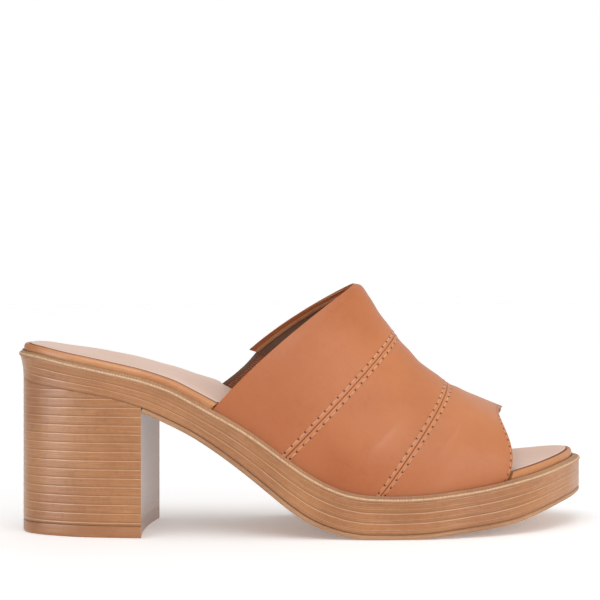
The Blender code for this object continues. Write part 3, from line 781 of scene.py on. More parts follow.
@dataclass(frozen=True)
class StackFinish(Finish):
    """Stacked leather edge: streaks along the layers, painted highlight lines and painted shade at the
    grooves.
    """

    # line is a painted highlight under each groove and also tints the paler streaks; groove is painted shade
    # over each groove and at the joints, mixed in at the strength of shade.
    line: Colour = (0.70, 0.43, 0.24)
    groove: Colour = (0.24, 0.095, 0.035)
    plain: Colour = (0.39, 0.27, 0.225)
    shade: float = 0.38

    def dress(self, graph: Graph, base: Surface) -> tuple[Socket, Socket, Socket]:
        """Add the streaks, painted shade over each groove and a painted highlight line under it.

        Args:
            graph: tree of the material.
            base: the surface it is laid on.

        Returns:
            Colour, roughness and normal.
        """
        run, rise = graph.lay("Lay")
        plain, gap = graph.lay("Mark")
        streak = graph.noise(graph.vector(graph.product(run, 60.0), graph.product(rise, 2600.0)),
                             1.0, 3.0, 0.6)
        colour = graph.mix(graph.step(streak, 0.42, 0.72, 0.0, 0.65), base.colour, self.dark)
        colour = graph.mix(graph.step(streak, 0.45, 0.25, 0.0, 0.35), colour, self.line)
        wander = graph.noise(graph.vector(graph.product(run, 90.0)), 1.0, 3.0, 0.6)
        gap = graph.math("ADD", gap, graph.math("MULTIPLY_ADD", wander, 0.00030, -0.00015))
        # Painted highlight line on the rounded edge just under each groove.
        painted_highlight_line = graph.product(graph.step(gap, -0.00042, -0.00024), graph.step(gap, 0.00004, -0.00012))
        painted_highlight_line = graph.product(painted_highlight_line, graph.step(wander, 0.30, 0.55, 0.45, 1.0))
        # Painted shade just over each groove and at the joints between pieces.
        painted_groove_shade = graph.product(graph.step(gap, 0.0009, 0.0001), graph.step(gap, -0.00012, 0.00004))
        colour = graph.mix(graph.product(painted_highlight_line, 0.62), colour, self.line)
        colour = graph.mix(graph.product(painted_groove_shade, self.shade), colour, self.groove)
        colour = graph.mix(plain, colour, self.plain)
        rough = graph.math("MULTIPLY_ADD", streak, 0.16, self.roughness - 0.08)
        return colour, rough, graph.bump(streak, 0.0001, base.normal, 0.35)


@dataclass(frozen=True)
class WheeledFinish(Finish):
    """Welt leather with the marks of a wheel across it."""

    pitch: float = 0.00122
    # pressed colours the wheel marks and also the painted shade under the lip and on the inner wall.
    pressed: Colour = (0.36, 0.24, 0.155)
    lip: Colour = (0.86, 0.58, 0.36)

    def dress(self, graph: Graph, base: Surface) -> tuple[Socket, Socket, Socket]:
        """Add pressed lines across the welt's upper face, a pale lip, and painted shade under the lip and on
        the inner wall.

        Args:
            graph: tree of the material.
            base: the surface it is laid on.

        Returns:
            Colour, roughness and normal.
        """
        run, rise = graph.lay("Lay")
        top, inner = graph.lay("Mark")
        ragged = graph.noise(graph.vector(graph.product(run, 850.0), graph.product(rise, 900.0)),
                             1.0, 3.0, 0.65)
        place = graph.math("MULTIPLY_ADD", ragged, 2.4, graph.product(run, 2.0 * math.pi / self.pitch))
        mark = graph.product(graph.step(graph.math("COSINE", place), -0.2, 0.95), top)
        mark = graph.product(mark, graph.step(ragged, 0.35, 0.60, 0.3, 1.0))
        lip = graph.product(graph.step(top, 0.05, 0.35), graph.step(top, 0.85, 0.65))
        lip = graph.product(lip, graph.step(ragged, 0.38, 0.52, 0.35, 1.0))
        # Painted shade just under the lip.
        painted_shade_under_lip = graph.product(graph.step(top, 0.0, 0.06), graph.step(top, 0.26, 0.14))
        painted_shade_under_lip = graph.product(painted_shade_under_lip, graph.step(ragged, 0.40, 0.55, 0.2, 0.8))
        colour = graph.mix(graph.product(lip, 0.8), base.colour, self.lip)
        colour = graph.mix(painted_shade_under_lip, colour, self.pressed)
        colour = graph.mix(graph.product(mark, 0.50), colour, self.pressed)
        # Painted shade on the inner wall, in the slot beside the upper.
        colour = graph.mix(graph.product(inner, 0.7), colour, self.pressed)
        normal = graph.bump(graph.math("MULTIPLY_ADD", ragged, -0.9, mark), 0.00022, base.normal, sunk=True)
        return colour, graph.math("MULTIPLY_ADD", mark, 0.12, self.roughness), normal


@dataclass(frozen=True)
class RibbedFinish(Finish):
    """Woven elastic: dark ribs with a fine cross weave."""

    pitch: float = 0.0011
    yarn: float = 0.00045
    fold: float = 0.0019
    edging: Colour = (0.26, 0.135, 0.075)

    def dress(self, graph: Graph, base: Surface) -> tuple[Socket, Socket, Socket]:
        """Add the cords and the yarns across them.

        Args:
            graph: tree of the material.
            base: the surface it is laid on.

        Returns:
            Colour, roughness and normal.
        """
        run, rise = graph.lay("Lay")
        web = graph.step(rise, self.fold, self.fold + 0.0001)
        cord = graph.math("SINE", graph.product(run, 2.0 * math.pi / self.pitch))
        yarn = graph.math("SINE", graph.product(rise, 2.0 * math.pi / self.yarn))
        weave = graph.math("MULTIPLY_ADD", yarn, 0.3, graph.product(cord, web))
        colour = graph.mix(graph.step(weave, 0.2, -1.0), base.colour, self.dark)
        colour = graph.mix(graph.step(rise, self.fold + 0.0003, self.fold - 0.0001), colour, self.edging)
        line = graph.step(graph.math("ABSOLUTE", graph.math("SUBTRACT", rise, self.fold)), 0.00022, 0.0001)
        colour = graph.mix(graph.product(line, 0.85), colour, self.dark)
        normal = graph.bump(graph.math("SUBTRACT", weave, line), 0.00015, base.normal, 0.8)
        return colour, graph.math("MULTIPLY_ADD", weave, 0.05, self.roughness), normal


@dataclass(frozen=True)
class EdgedFinish(Finish):
    """A thin sheet whose cut edge is darker than its face."""

    cut: Colour = (0.32, 0.155, 0.095)

    def dress(self, graph: Graph, base: Surface) -> tuple[Socket, Socket, Socket]:
        """Darken the cut edge, marked by the first value of the map.

        Args:
            graph: tree of the material.
            base: the surface it is laid on.

        Returns:
            Colour, roughness and normal.
        """
        edge, _ = graph.lay("Mark")
        colour = graph.mix(graph.step(edge, 0.2, 0.9), base.colour, self.cut)
        return colour, graph.math("MULTIPLY_ADD", base.mask, 0.10, self.roughness - 0.03), base.normal


class Dress(Enum):
    """The finishes of the mule."""

    UPPER = UpperFinish("calf_tan", (0.565, 0.190, 0.067), (0.430, 0.113, 0.028), roughness=0.37,
                        grain=1500.0, depth=0.000045, clouds=19.0, fleck=0.18, specular=0.38, coat=0.08)
    FACING = Finish("calf_facing", (0.62, 0.31, 0.155), (0.50, 0.21, 0.09), roughness=0.5,
                    grain=1300.0, depth=0.00004)
    LINING = Finish("lining_brown", (0.25, 0.125, 0.065), (0.16, 0.075, 0.038), roughness=0.62,
                    grain=1000.0, sheen=0.15)
    STACK = StackFinish("stacked_leather", (0.490, 0.212, 0.078), (0.36, 0.138, 0.043), roughness=0.34,
                        grain=700.0, depth=0.00006, coat=0.12, fleck=0.5)
    LIFT = StackFinish("lift_rubber", (0.455, 0.20, 0.080), (0.35, 0.14, 0.052), roughness=0.38,
                       grain=800.0, depth=0.00003, coat=0.08)
    TREAD = StackFinish("tread_rubber_skin", (0.50, 0.27, 0.135), (0.36, 0.17, 0.075), roughness=0.6,
                        grain=800.0, depth=0.00005)
    WELT = WheeledFinish("welt_natural", (0.52, 0.27, 0.125), (0.40, 0.18, 0.080), roughness=0.55,
                         grain=1100.0, depth=0.00005)
    RIM = Finish("footbed_wrap", (0.66, 0.295, 0.112), (0.52, 0.195, 0.065), roughness=0.42,
                 grain=1100.0, depth=0.00004, coat=0.10, clouds=30.0, fleck=0.2)
    SOCK = EdgedFinish("sock_pale", (0.865, 0.61, 0.485), (0.775, 0.507, 0.383), roughness=0.42,
                       grain=1200.0, depth=0.00004, sheen=0.05, clouds=22.0, fleck=0.2, amount=0.8)
    ELASTIC = RibbedFinish("elastic_brown", (0.60, 0.225, 0.090), (0.27, 0.090, 0.036), roughness=0.8)
    THREAD = Finish("thread_waxed", (0.80, 0.45, 0.25), (0.56, 0.26, 0.12), roughness=0.5,
                    grain=2600.0, depth=0.00008)


@dataclass
class Patch:
    """A grid of points with its two maps, one part of a piece.

    The first map is the place on the sheet in metres, and the second holds
    two masks or distances that the finish reads.
    """

    points: np.ndarray
    lay: np.ndarray
    mark: np.ndarray

    def cells(self, base: int) -> tuple[np.ndarray, np.ndarray]:
        """Corner numbers and map values of the cells.

        Args:
            base: number of the first point in the whole mesh.

        Returns:
            Quads n x 4 and their map values n x 4 x 4.
        """
        rows, columns = self.points.shape[:2]
        number = np.arange(rows * columns).reshape(rows, columns)
        quads = np.stack([part.ravel() for part in (number[:-1, :-1], number[1:, :-1],
                                                    number[1:, 1:], number[:-1, 1:])], axis=1)
        both = np.dstack([self.lay, self.mark]).reshape(-1, 4)
        return base + quads, both[quads]


def build_piece(name: str, patches: list[Patch], finish: Dress,
                stands_for: tuple[str, ...] = ()) -> bpy.types.Object:
    """Make one piece from patches and hand it to the frame.

    Args:
        name: name of the piece.
        patches: grids that share their edges.
        finish: the finish that dresses it.
        stands_for: CAD nodes that the piece takes the place of.

    Returns:
        The finished object.
    """
    corners, quads, places, base = [], [], [], 0
    for patch in patches:
        cells, uv = patch.cells(base)
        corners.append(LAST.place(patch.points.reshape(-1, 3)))
        quads.append(cells)
        places.append(uv)
        base += corners[-1].shape[0]
    faces, uv = np.vstack(quads), np.vstack(places)
    mesh = bpy.data.meshes.new(name)
    mesh.from_pydata(np.vstack(corners), [], faces)
    for name_of, part in (("Lay", uv[..., :2]), ("Mark", uv[..., 2:])):
        layer = mesh.uv_layers.new(name=name_of)
        layer.data.foreach_set("uv", np.ascontiguousarray(part).reshape(-1))
    work = bmesh.new()
    work.from_mesh(mesh)
    bmesh.ops.remove_doubles(work, verts=work.verts, dist=MERGE)
    bmesh.ops.dissolve_degenerate(work, edges=work.edges, dist=MERGE)
    bmesh.ops.recalc_face_normals(work, faces=work.faces)
    work.to_mesh(mesh)
    work.free()
    mesh.polygons.foreach_set("use_smooth", np.ones(len(mesh.polygons), dtype=bool))
    mesh.set_sharp_from_angle(angle=CRISP)
    mesh.materials.append(finish.value.material())
    piece = bpy.data.objects.new(name, mesh)
    bpy.context.scene.collection.objects.link(piece)
    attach(piece, "root")
    if stands_for:
        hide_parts(*stands_for)
    return piece


@dataclass
class Level:
    """One ring of a sole piece.

    The inset gains its share of the flare at the heel and of the welt's
    width. Top is a mask and gap a height over the nearest groove, both for
    the finish. Climb is the height over the foot of the upper.
    """

    inset: float
    height: Heights
    flare: float = 0.0
    welt: float = 0.0
    top: float = 0.0
    gap: float = 1.0
    climb: float = 0.0


@dataclass
class SoleLayer:
    """A piece of the sole: rings of the plan stacked from low to high.

    Start and end are lengths from the heel tip where the breast cuts the
    plan, one for each side, and hollow is the bow of that cut. Extra insets
    the piece where the upper stands beside it.
    """

    name: str
    finish: Dress
    slot: Slot
    stands_for: tuple[str, ...]
    rows: int = 420
    across: int = 6
    start: tuple[float, float] | None = None
    end: tuple[float, float] | None = None
    extra: float = 0.0
    hollow: float = 0.0
    flare: float = 0.0014
    flare_span: tuple[float, float] = (0.46, 0.26)
    band_rear: tuple[float, float] = (0.3278, 0.3368)
    band_toe: float = 0.8405
    toe_lean: float = 0.67
    notch: float = 0.0010

    def side_points(self, outer: bool) -> tuple[np.ndarray, np.ndarray]:
        """Spread points evenly along one side.

        Args:
            outer: True for the outer side.

        Returns:
            Points and their unit normals into the plan.
        """
        curve, normal = LAST.sides[0 if outer else 1]
        walk = np.concatenate([[0.0], np.cumsum(np.linalg.norm(np.diff(curve, axis=0), axis=1))])
        low, high = walk[0], walk[-1]
        order = np.maximum.accumulate(curve[:, 0])
        if self.start is not None:
            low = np.interp(self.start[0 if outer else 1], order, walk)
        if self.end is not None:
            high = np.interp(self.end[0 if outer else 1], order, walk)
        at = np.linspace(low, high, self.rows)
        points = np.stack([np.interp(at, walk, curve[:, k]) for k in (0, 1)], axis=1)
        across = np.stack([np.interp(at, walk, normal[:, k]) for k in (0, 1)], axis=1)
        if self.start is None:
            across[0] = (1.0, 0.0)
        if self.end is None:
            across[-1] = (-1.0, 0.0)
        return points, across / np.linalg.norm(across, axis=1)[:, None]

    def grid(self, level: Level) -> np.ndarray:
        """Lay out a level: even steps from the outer edge to the inner edge.

        Args:
            level: inset and height of the ring.

        Returns:
            Points, rows x across x 3.
        """
        edges = []
        for outer in (True, False):
            points, across = self.side_points(outer)
            share = points[:, 0] / LAST.length
            deep = level.inset + level.flare * self.flare * smooth(*self.flare_span, share)
            deep = deep + level.welt * LAST.welt(points[:, 0])
            climb = max(level.climb, 0.0) / LAST.length
            rear = self.band_rear[0 if outer else 1] + climb
            toe = self.band_toe + self.toe_lean * climb
            rise = np.clip((share - rear) / self.notch + 1.0, 0.0, 1.0)
            fall = np.clip((toe - share) / self.notch + 1.0, 0.0, 1.0)
            deep = deep + self.extra * np.minimum(rise, fall)
            edges.append(points + across * deep[:, None])
        share = np.linspace(0.0, 1.0, self.across + 1)[None, :, None]
        plan = edges[0][:, None, :] * (1.0 - share) + edges[1][:, None, :] * share
        bow = 4.0 * share[..., 0] * (1.0 - share[..., 0]) * self.hollow
        row = np.linspace(0.0, 1.0, self.rows)[:, None]
        if self.end is not None:
            plan[..., 0] -= bow * smooth(0.4, 1.0, row)
        if self.start is not None:
            plan[..., 0] -= bow * smooth(0.1, 0.0, row)
        return np.dstack([plan, level.height(plan[..., 0], plan[..., 1])])

    def edge(self, grid: np.ndarray) -> np.ndarray:
        """Walk once round the edge of a laid grid, back to its first point."""
        parts = [grid[:, 0], grid[-1, 1:-1], grid[::-1, -1], grid[0, -2:0:-1], grid[:1, 0]]
        return np.vstack(parts)

    def side(self, levels: list[Level]) -> Patch:
        """Stack the rings.

        Args:
            levels: the rings in order.

        Returns:
            The side wall.
        """
        points = np.stack([self.edge(self.grid(level)) for level in levels])
        middle = points[len(levels) // 2]
        run = np.concatenate([[0.0], np.cumsum(np.linalg.norm(np.diff(middle, axis=0), axis=1))])
        climb = np.linalg.norm(np.diff(points, axis=0), axis=2)
        rise = np.vstack([np.zeros(points.shape[1]), np.cumsum(climb, axis=0)])
        lay = np.dstack([np.broadcast_to(run, rise.shape), rise])
        top = np.array([level.top for level in levels])[:, None] + rise * 0.0
        gap = np.array([level.gap for level in levels])[:, None] + rise * 0.0
        if self.end is not None:
            top = np.maximum(top, self.edge(self.cut_mask())[None, :, 0])
        return Patch(points, lay, np.dstack([top, gap]))

    def cut_mask(self) -> np.ndarray:
        """Mark the cut end.

        Returns:
            Rows x across x 1, with 1 on the middle columns of the last row.
        """
        mask = np.zeros((self.rows, self.across + 1, 1))
        mask[-1, 1:-1] = 1.0
        return mask

    def sheet(self, level: Level) -> Patch:
        """Close a level with a face.

        Args:
            level: the ring round the face.

        Returns:
            The face.
        """
        grid = self.grid(level)
        marks = np.full(grid.shape[:2], 1.0)
        return Patch(grid, grid[..., :2], np.dstack([marks * level.top, marks]))

    def build(self, levels: list[Level], closed_ring: bool = False) -> bpy.types.Object:
        """Build the piece.

        Args:
            levels: the rings from low to high.
            closed_ring: join the last ring to the first in place of two faces.

        Returns:
            The finished object.
        """
        if closed_ring:
            patches = [self.side(levels + levels[:1])]
        else:
            patches = [self.sheet(levels[0]), self.side(levels), self.sheet(levels[-1])]
        return build_piece(self.name, patches, self.finish, self.stands_for)


@dataclass
class Sole:
    """Heel, platform, outsole, welt, footbed and sock of the mule.

    Each piece lists its rings from low to high, inset and height in metres
    and then its masks where the finish reads them. Joint is the gap that
    shows between pieces, and slack and clear keep rings and walls apart.
    """

    outsole_thickness: float = 0.0020
    inset: float = 0.0004
    heel_inset: float = 0.0018
    heel_pitch: float = 0.00357
    heel_layers: int = 17
    first_groove: float = 0.0012
    layer_cuts: tuple[float, ...] = (0.0, 0.345, 0.665, 1.0)
    layer_depth: float = 0.0036
    groove: float = 0.00010
    joint: float = 0.00004
    slack: float = 0.00001
    clear: float = 0.0001
    lift: float = 0.0050
    breast: tuple[float, float] = (0.0513, 0.0583)
    breast_gap: float = 0.0005
    hollow: float = 0.0020
    rise: float = 0.0040
    rim: float = 0.0021
    sock: float = 0.0009
    wall: float = 0.0019

    def build(self) -> list[bpy.types.Object]:
        """Build every piece of the sole in order."""
        return [self.heel_lift(), self.heel_block(), self.outsole(), self.platform(),
                self.welt(), self.footbed(), self.sock_sheet()]

    def heel_layer(self, name: str, finish: Dress, slot: Slot, stands_for: tuple[str, ...]) -> SoleLayer:
        """Plan of a heel piece, cut at the breast."""
        return SoleLayer(name, finish, slot, stands_for, rows=220, across=24, end=self.breast,
                         hollow=self.hollow)

    def heel_lift(self) -> bpy.types.Object:
        """Build the top piece that stands on the floor.

        Returns:
            The finished object.
        """
        top = self.lift - self.joint
        rows = ((0.0008, 0.0), (0.0003, 0.0002), (0.0, 0.0006), (0.0, 0.0014), (0.0, 0.0024),
                (0.0, 0.0034), (0.0, top - 0.0006), (0.0001, top - 0.0002), (0.0004, top))
        levels = [Level(self.heel_inset + inset, flat(z), gap=self.lift - z) for inset, z in rows]
        return self.heel_layer("top_piece", Dress.LIFT, Slot.TREAD, ("heel_lift",)).build(levels)

    def heel_block(self) -> bpy.types.Object:
        """Build the stack with a soft groove between its layers.

        A layer is ten rings: its groove, the rounded edge over it, the flat
        and the rounded edge under the next groove. Rings that reach the seat
        lie on it.

        Returns:
            The finished object.
        """
        seat = LAST.tread(self.outsole_thickness + LAST.gap - self.joint)
        profile = ((0.0, 1.0), (0.00010, 0.80), (0.00024, 0.28), (0.00050, 0.04), (0.00105, 0.0),
                   (0.0018, 0.0), (0.0026, 0.0), (0.00310, 0.05), (0.00334, 0.30), (0.00348, 0.80))
        marks = [(self.lift, 1.5, 0.0), (self.lift + 0.0002, 0.6, 0.0002),
                 (self.lift + 0.0005, 0.1, 0.0005), (self.lift + 0.0009, 0.3, -0.0003)]
        for k in range(self.heel_layers):
            base = self.lift + self.first_groove + self.heel_pitch * k
            marks += [(base + z, depth, z if z < self.heel_pitch / 2.0 else z - self.heel_pitch)
                      for z, depth in profile]
        levels = [Level(self.heel_inset + self.groove * depth, under(z, seat, self.slack * (len(marks) - k)),
                        gap=gap) for k, (z, depth, gap) in enumerate(marks)]
        levels.append(Level(self.heel_inset + 0.0001, seat, gap=0.0))
        return self.heel_layer("heel_stack", Dress.STACK, Slot.SOLE, ("heel_block",)).build(levels)

    def outsole(self) -> bpy.types.Object:
        """Build the tread sheet from the breast of the heel to the toe.

        Returns:
            The finished object.
        """
        start = (self.breast[0] + self.breast_gap, self.breast[1] + self.breast_gap)
        layer = SoleLayer("tread_sheet", Dress.TREAD, Slot.TREAD, ("outsole",), start=start,
                          hollow=self.hollow, across=12)
        top = self.outsole_thickness + LAST.gap - 3.0 * self.joint
        rows = ((0.0012, 0.0), (0.0005, 0.0001), (0.0001, 0.0004), (0.0, 0.0008), (0.0, 0.0013),
                (0.0001, top - 0.0006), (0.0004, top - 0.0003), (0.0009, top))
        levels = [Level(self.inset + inset, LAST.tread(z), 1.0, gap=z - top) for inset, z in rows]
        return layer.build(levels)

    def platform(self) -> bpy.types.Object:
        """Build the body of the sole from three layers with rounded edges.

        Returns:
            The finished object.
        """
        low = LAST.tread(self.outsole_thickness + LAST.gap)
        high = LAST.rim(-LAST.welt_edge - self.joint)
        profile = ((0.0, 1.0), (0.02, 0.82), (0.055, 0.32), (0.11, 0.05), (0.25, 0.0), (0.5, 0.0),
                   (0.75, 0.0), (0.89, 0.05), (0.945, 0.32), (0.98, 0.82))
        levels = []
        for low_cut, high_cut in zip(self.layer_cuts[:-1], self.layer_cuts[1:]):
            for place, depth in profile:
                share = low_cut + (high_cut - low_cut) * place
                gap = self.layer_depth * (place if place < 0.5 else place - 1.0)
                levels.append(Level(self.inset + self.groove * depth, between(low, high, share),
                                    1.0 - share ** 2, gap=gap))
        levels.append(Level(self.inset + 0.0002, high, 0.0, gap=0.0))
        layer = SoleLayer("platform_stack", Dress.STACK, Slot.SOLE, ("platform",), rows=480)
        return layer.build(levels)

    def welt(self) -> bpy.types.Object:
        """Build the rand round the rim with a rounded edge and a pressed top.

        Returns:
            The finished object.
        """
        edge, rise = LAST.welt_edge, LAST.welt_rise
        rows = ((0.0004, -edge, 0.0, 0.0), (0.0001, -edge + 0.0001, 0.0, 0.0),
                (0.0, -edge + 0.0004, 0.0, 0.0), (0.0, -0.0005, 0.0, 0.0),
                (0.00012, -0.0001, 0.45, 0.0), (0.0004, 0.0001, 0.55, 0.0),
                (0.0002, 0.0003, 0.9, 0.25), (0.0002, 0.0006, 1.0, 0.5),
                (0.0, 0.0009, 1.0, 0.75), (-0.0005, rise, 0.8, 1.0), (-0.0001, rise - 0.0001, 0.2, 1.0),
                (0.0, rise - 0.0005, 0.0, 1.0), (0.0, -edge, 0.0, 1.0))
        levels = [Level(inset, LAST.rim(z), welt=welt, top=top, gap=max(0.0, 4.0 * welt - 3.0))
                  for inset, z, top, welt in rows]
        layer = SoleLayer("welt_rand", Dress.WELT, Slot.WELT, ("welt",), rows=900)
        return layer.build(levels, closed_ring=True)

    def footbed(self) -> bpy.types.Object:
        """Build the wrapped insole board with its rounded rim.

        Returns:
            The finished object.
        """
        rise, rim = self.rise, self.rim
        rows = ((0.0002, -LAST.welt_edge), (0.0, -LAST.welt_edge + 0.0003), (0.0, rise - 0.0018),
                (0.00004, rise - 0.0013), (0.0002, rise - 0.0008), (0.0005, rise - 0.0003),
                (0.0009, rise - 0.00005), (0.0013, rise), (0.0017, rise - 0.0001),
                (rim - 0.0001, rise - 0.0003), (rim + 0.0001, rise - 0.0007),
                (rim + 0.00015, rise - self.sock))
        levels = [Level(LAST.gap + inset, LAST.rim(z), welt=1.0, climb=z - LAST.welt_rise)
                  for inset, z in rows]
        layer = SoleLayer("footbed_wrap", Dress.RIM, Slot.FOOTBED, ("footbed",), rows=560,
                          across=16, extra=self.wall + LAST.gap + self.clear)
        return layer.build(levels)

    def sock_sheet(self) -> bpy.types.Object:
        """Build the lining sheet that lies in the footbed.

        Returns:
            The finished object.
        """
        edge = 2.0 * LAST.gap + self.rim + self.clear
        base = self.rise - self.sock + LAST.gap
        rows = ((0.0, 0.0, 1.0), (0.0, 0.0005, 1.0), (0.00005, 0.00078, 1.0), (0.0002, 0.00095, 0.2),
                (0.0005, 0.00106, 0.0), (0.0010, 0.00110, 0.0))
        levels = [Level(edge + inset, LAST.rim(base + z), welt=1.0, top=top,
                        climb=base + z - LAST.welt_rise) for inset, z, top in rows]
        layer = SoleLayer("sock_lining", Dress.SOCK, Slot.SOCK, ("sock",), rows=480, across=40,
                          extra=self.wall + LAST.gap + self.clear)
        return layer.build(levels)


@dataclass
class Wall:
    """A sheet that follows the upper, with rounded edges all round.

    Rows are section numbers, away are distances from them toward the toe
    and columns are places round the section. Corner is the row and column
    from which the sheet is cut away for the gusset. Marks stop at the two
    reaches.
    """

    name: str
    finish: Dress
    slot: Slot
    stands_for: tuple[str, ...]
    outside: float
    inside: float
    rows: np.ndarray
    away: np.ndarray
    columns: np.ndarray
    corner: tuple[int, int] | None = None
    lift: Callable[[np.ndarray, np.ndarray, np.ndarray], np.ndarray] | None = None
    seam_reach: float = 0.03
    edge_reach: float = 0.05
    past_edge: float = -0.01

    def build(self) -> bpy.types.Object:
        """Lay both faces and the rounded edge between them.

        The edge is a half circle in the plane of the surface normal and the
        direction out of the sheet, square to the edge line.

        Returns:
            The finished object.
        """
        base, t = np.broadcast_arrays(self.rows.reshape(len(self.rows), -1), self.columns[None, :])
        _, _, pace = LAST.band_frame(base, t)
        s = np.maximum.accumulate(np.clip(base + self.away[:, None] / pace, 0.0, TOE_EDGE), axis=0)
        point = LAST.band(s, t)
        normal, _, pace = LAST.band_frame(s, t)
        run = self.measure(point)
        past = np.cumsum(np.vstack([np.zeros(t.shape[1]),
                                    np.linalg.norm(np.diff(point, axis=0), axis=2)]), axis=0)
        halfway = (REAR_SEAM + FRONT_SEAM) / 2.0
        seam = np.where(s < halfway, s - REAR_SEAM, s - FRONT_SEAM) * pace
        edge = (TOE_EDGE - s) * pace
        height = np.zeros_like(s) if self.lift is None else self.lift(seam, s, t)
        outer = point + normal * (self.outside + height)[..., None]
        inner = point + normal * self.inside
        lay = np.dstack([run, past])
        mark = np.dstack([np.minimum(np.abs(seam), self.seam_reach), np.clip(edge, 0.0, self.edge_reach)])
        inner_mark = mark * 0.0 + np.array([self.seam_reach, self.edge_reach])
        patches = []
        for block in self.blocks(t.shape):
            patches.append(Patch(outer[block], lay[block], mark[block]))
            patches.append(Patch(inner[block][::-1], lay[block][::-1], inner_mark[block][::-1]))
        path = self.path(t.shape)
        patches.append(self.rim(outer[path], inner[path], normal[path], lay[path], mark[path]))
        return build_piece(self.name, patches, self.finish, self.stands_for)

    def measure(self, point: np.ndarray) -> np.ndarray:
        """Distance round each section, counted from its ridge.

        Args:
            point: grid of points.

        Returns:
            Distances, negative on the outer flank.
        """
        walk = np.cumsum(np.linalg.norm(np.diff(point, axis=1), axis=2), axis=1)
        walk = np.hstack([np.zeros((point.shape[0], 1)), walk])
        ridge = int(np.argmin(np.abs(self.columns)))
        return walk - walk[:, ridge:ridge + 1]

    def blocks(self, shape: tuple[int, int]) -> list[tuple[slice, slice]]:
        """Parts of the grid that the sheet covers, without its cut corner.

        Args:
            shape: rows and columns of the grid.

        Returns:
            Row and column slices of each part.
        """
        if self.corner is None:
            return [(slice(0, shape[0]), slice(0, shape[1]))]
        row, column = self.corner
        return [(slice(0, shape[0]), slice(0, column + 1)),
                (slice(row, shape[0]), slice(column, shape[1]))]

    def path(self, shape: tuple[int, int]) -> tuple[np.ndarray, np.ndarray]:
        """Rows and columns once round the edge of the sheet.

        Args:
            shape: rows and columns of the grid.

        Returns:
            Row numbers and column numbers, closed.
        """
        rows, columns = shape
        row, column = self.corner or (0, columns - 1)
        legs = [(np.arange(rows - 1, 0, -1), 0), (0, np.arange(0, column)), (np.arange(0, row), column),
                (row, np.arange(column, columns - 1)), (np.arange(row, rows - 1), columns - 1),
                (rows - 1, np.arange(columns - 1, 0, -1)), (np.array([rows - 1]), 0)]
        parts = [np.broadcast_arrays(np.atleast_1d(a), np.atleast_1d(b)) for a, b in legs]
        return np.concatenate([p[0] for p in parts]), np.concatenate([p[1] for p in parts])

    def rim(self, outer: np.ndarray, inner: np.ndarray, normal: np.ndarray, lay: np.ndarray,
            mark: np.ndarray) -> Patch:
        """Round the edge between the two faces.

        Args:
            outer: edge points of the outer face.
            inner: edge points of the inner face.
            normal: unit normals there.
            lay: map values there.
            mark: mark values there.

        Returns:
            The edge as a patch.
        """
        along = np.roll(outer[:-1], -1, axis=0) - np.roll(outer[:-1], 1, axis=0)
        along = np.vstack([along, along[:1]])
        out = np.cross(along, normal)
        out = out / np.linalg.norm(out, axis=1)[:, None]
        middle, half = (outer + inner) / 2.0, (outer - inner) / 2.0
        reach = np.linalg.norm(half, axis=1)[:, None]
        middle_mark = mark * 0.0 + np.array([self.seam_reach, self.past_edge])
        turns = np.linspace(0.0, math.pi, 9)
        points = np.stack([middle + half * math.cos(a) + out * reach * math.sin(a) for a in turns])
        marks = np.stack([mark if a < 0.1 else middle_mark for a in turns])
        return Patch(points, np.stack([lay] * len(turns)), marks)


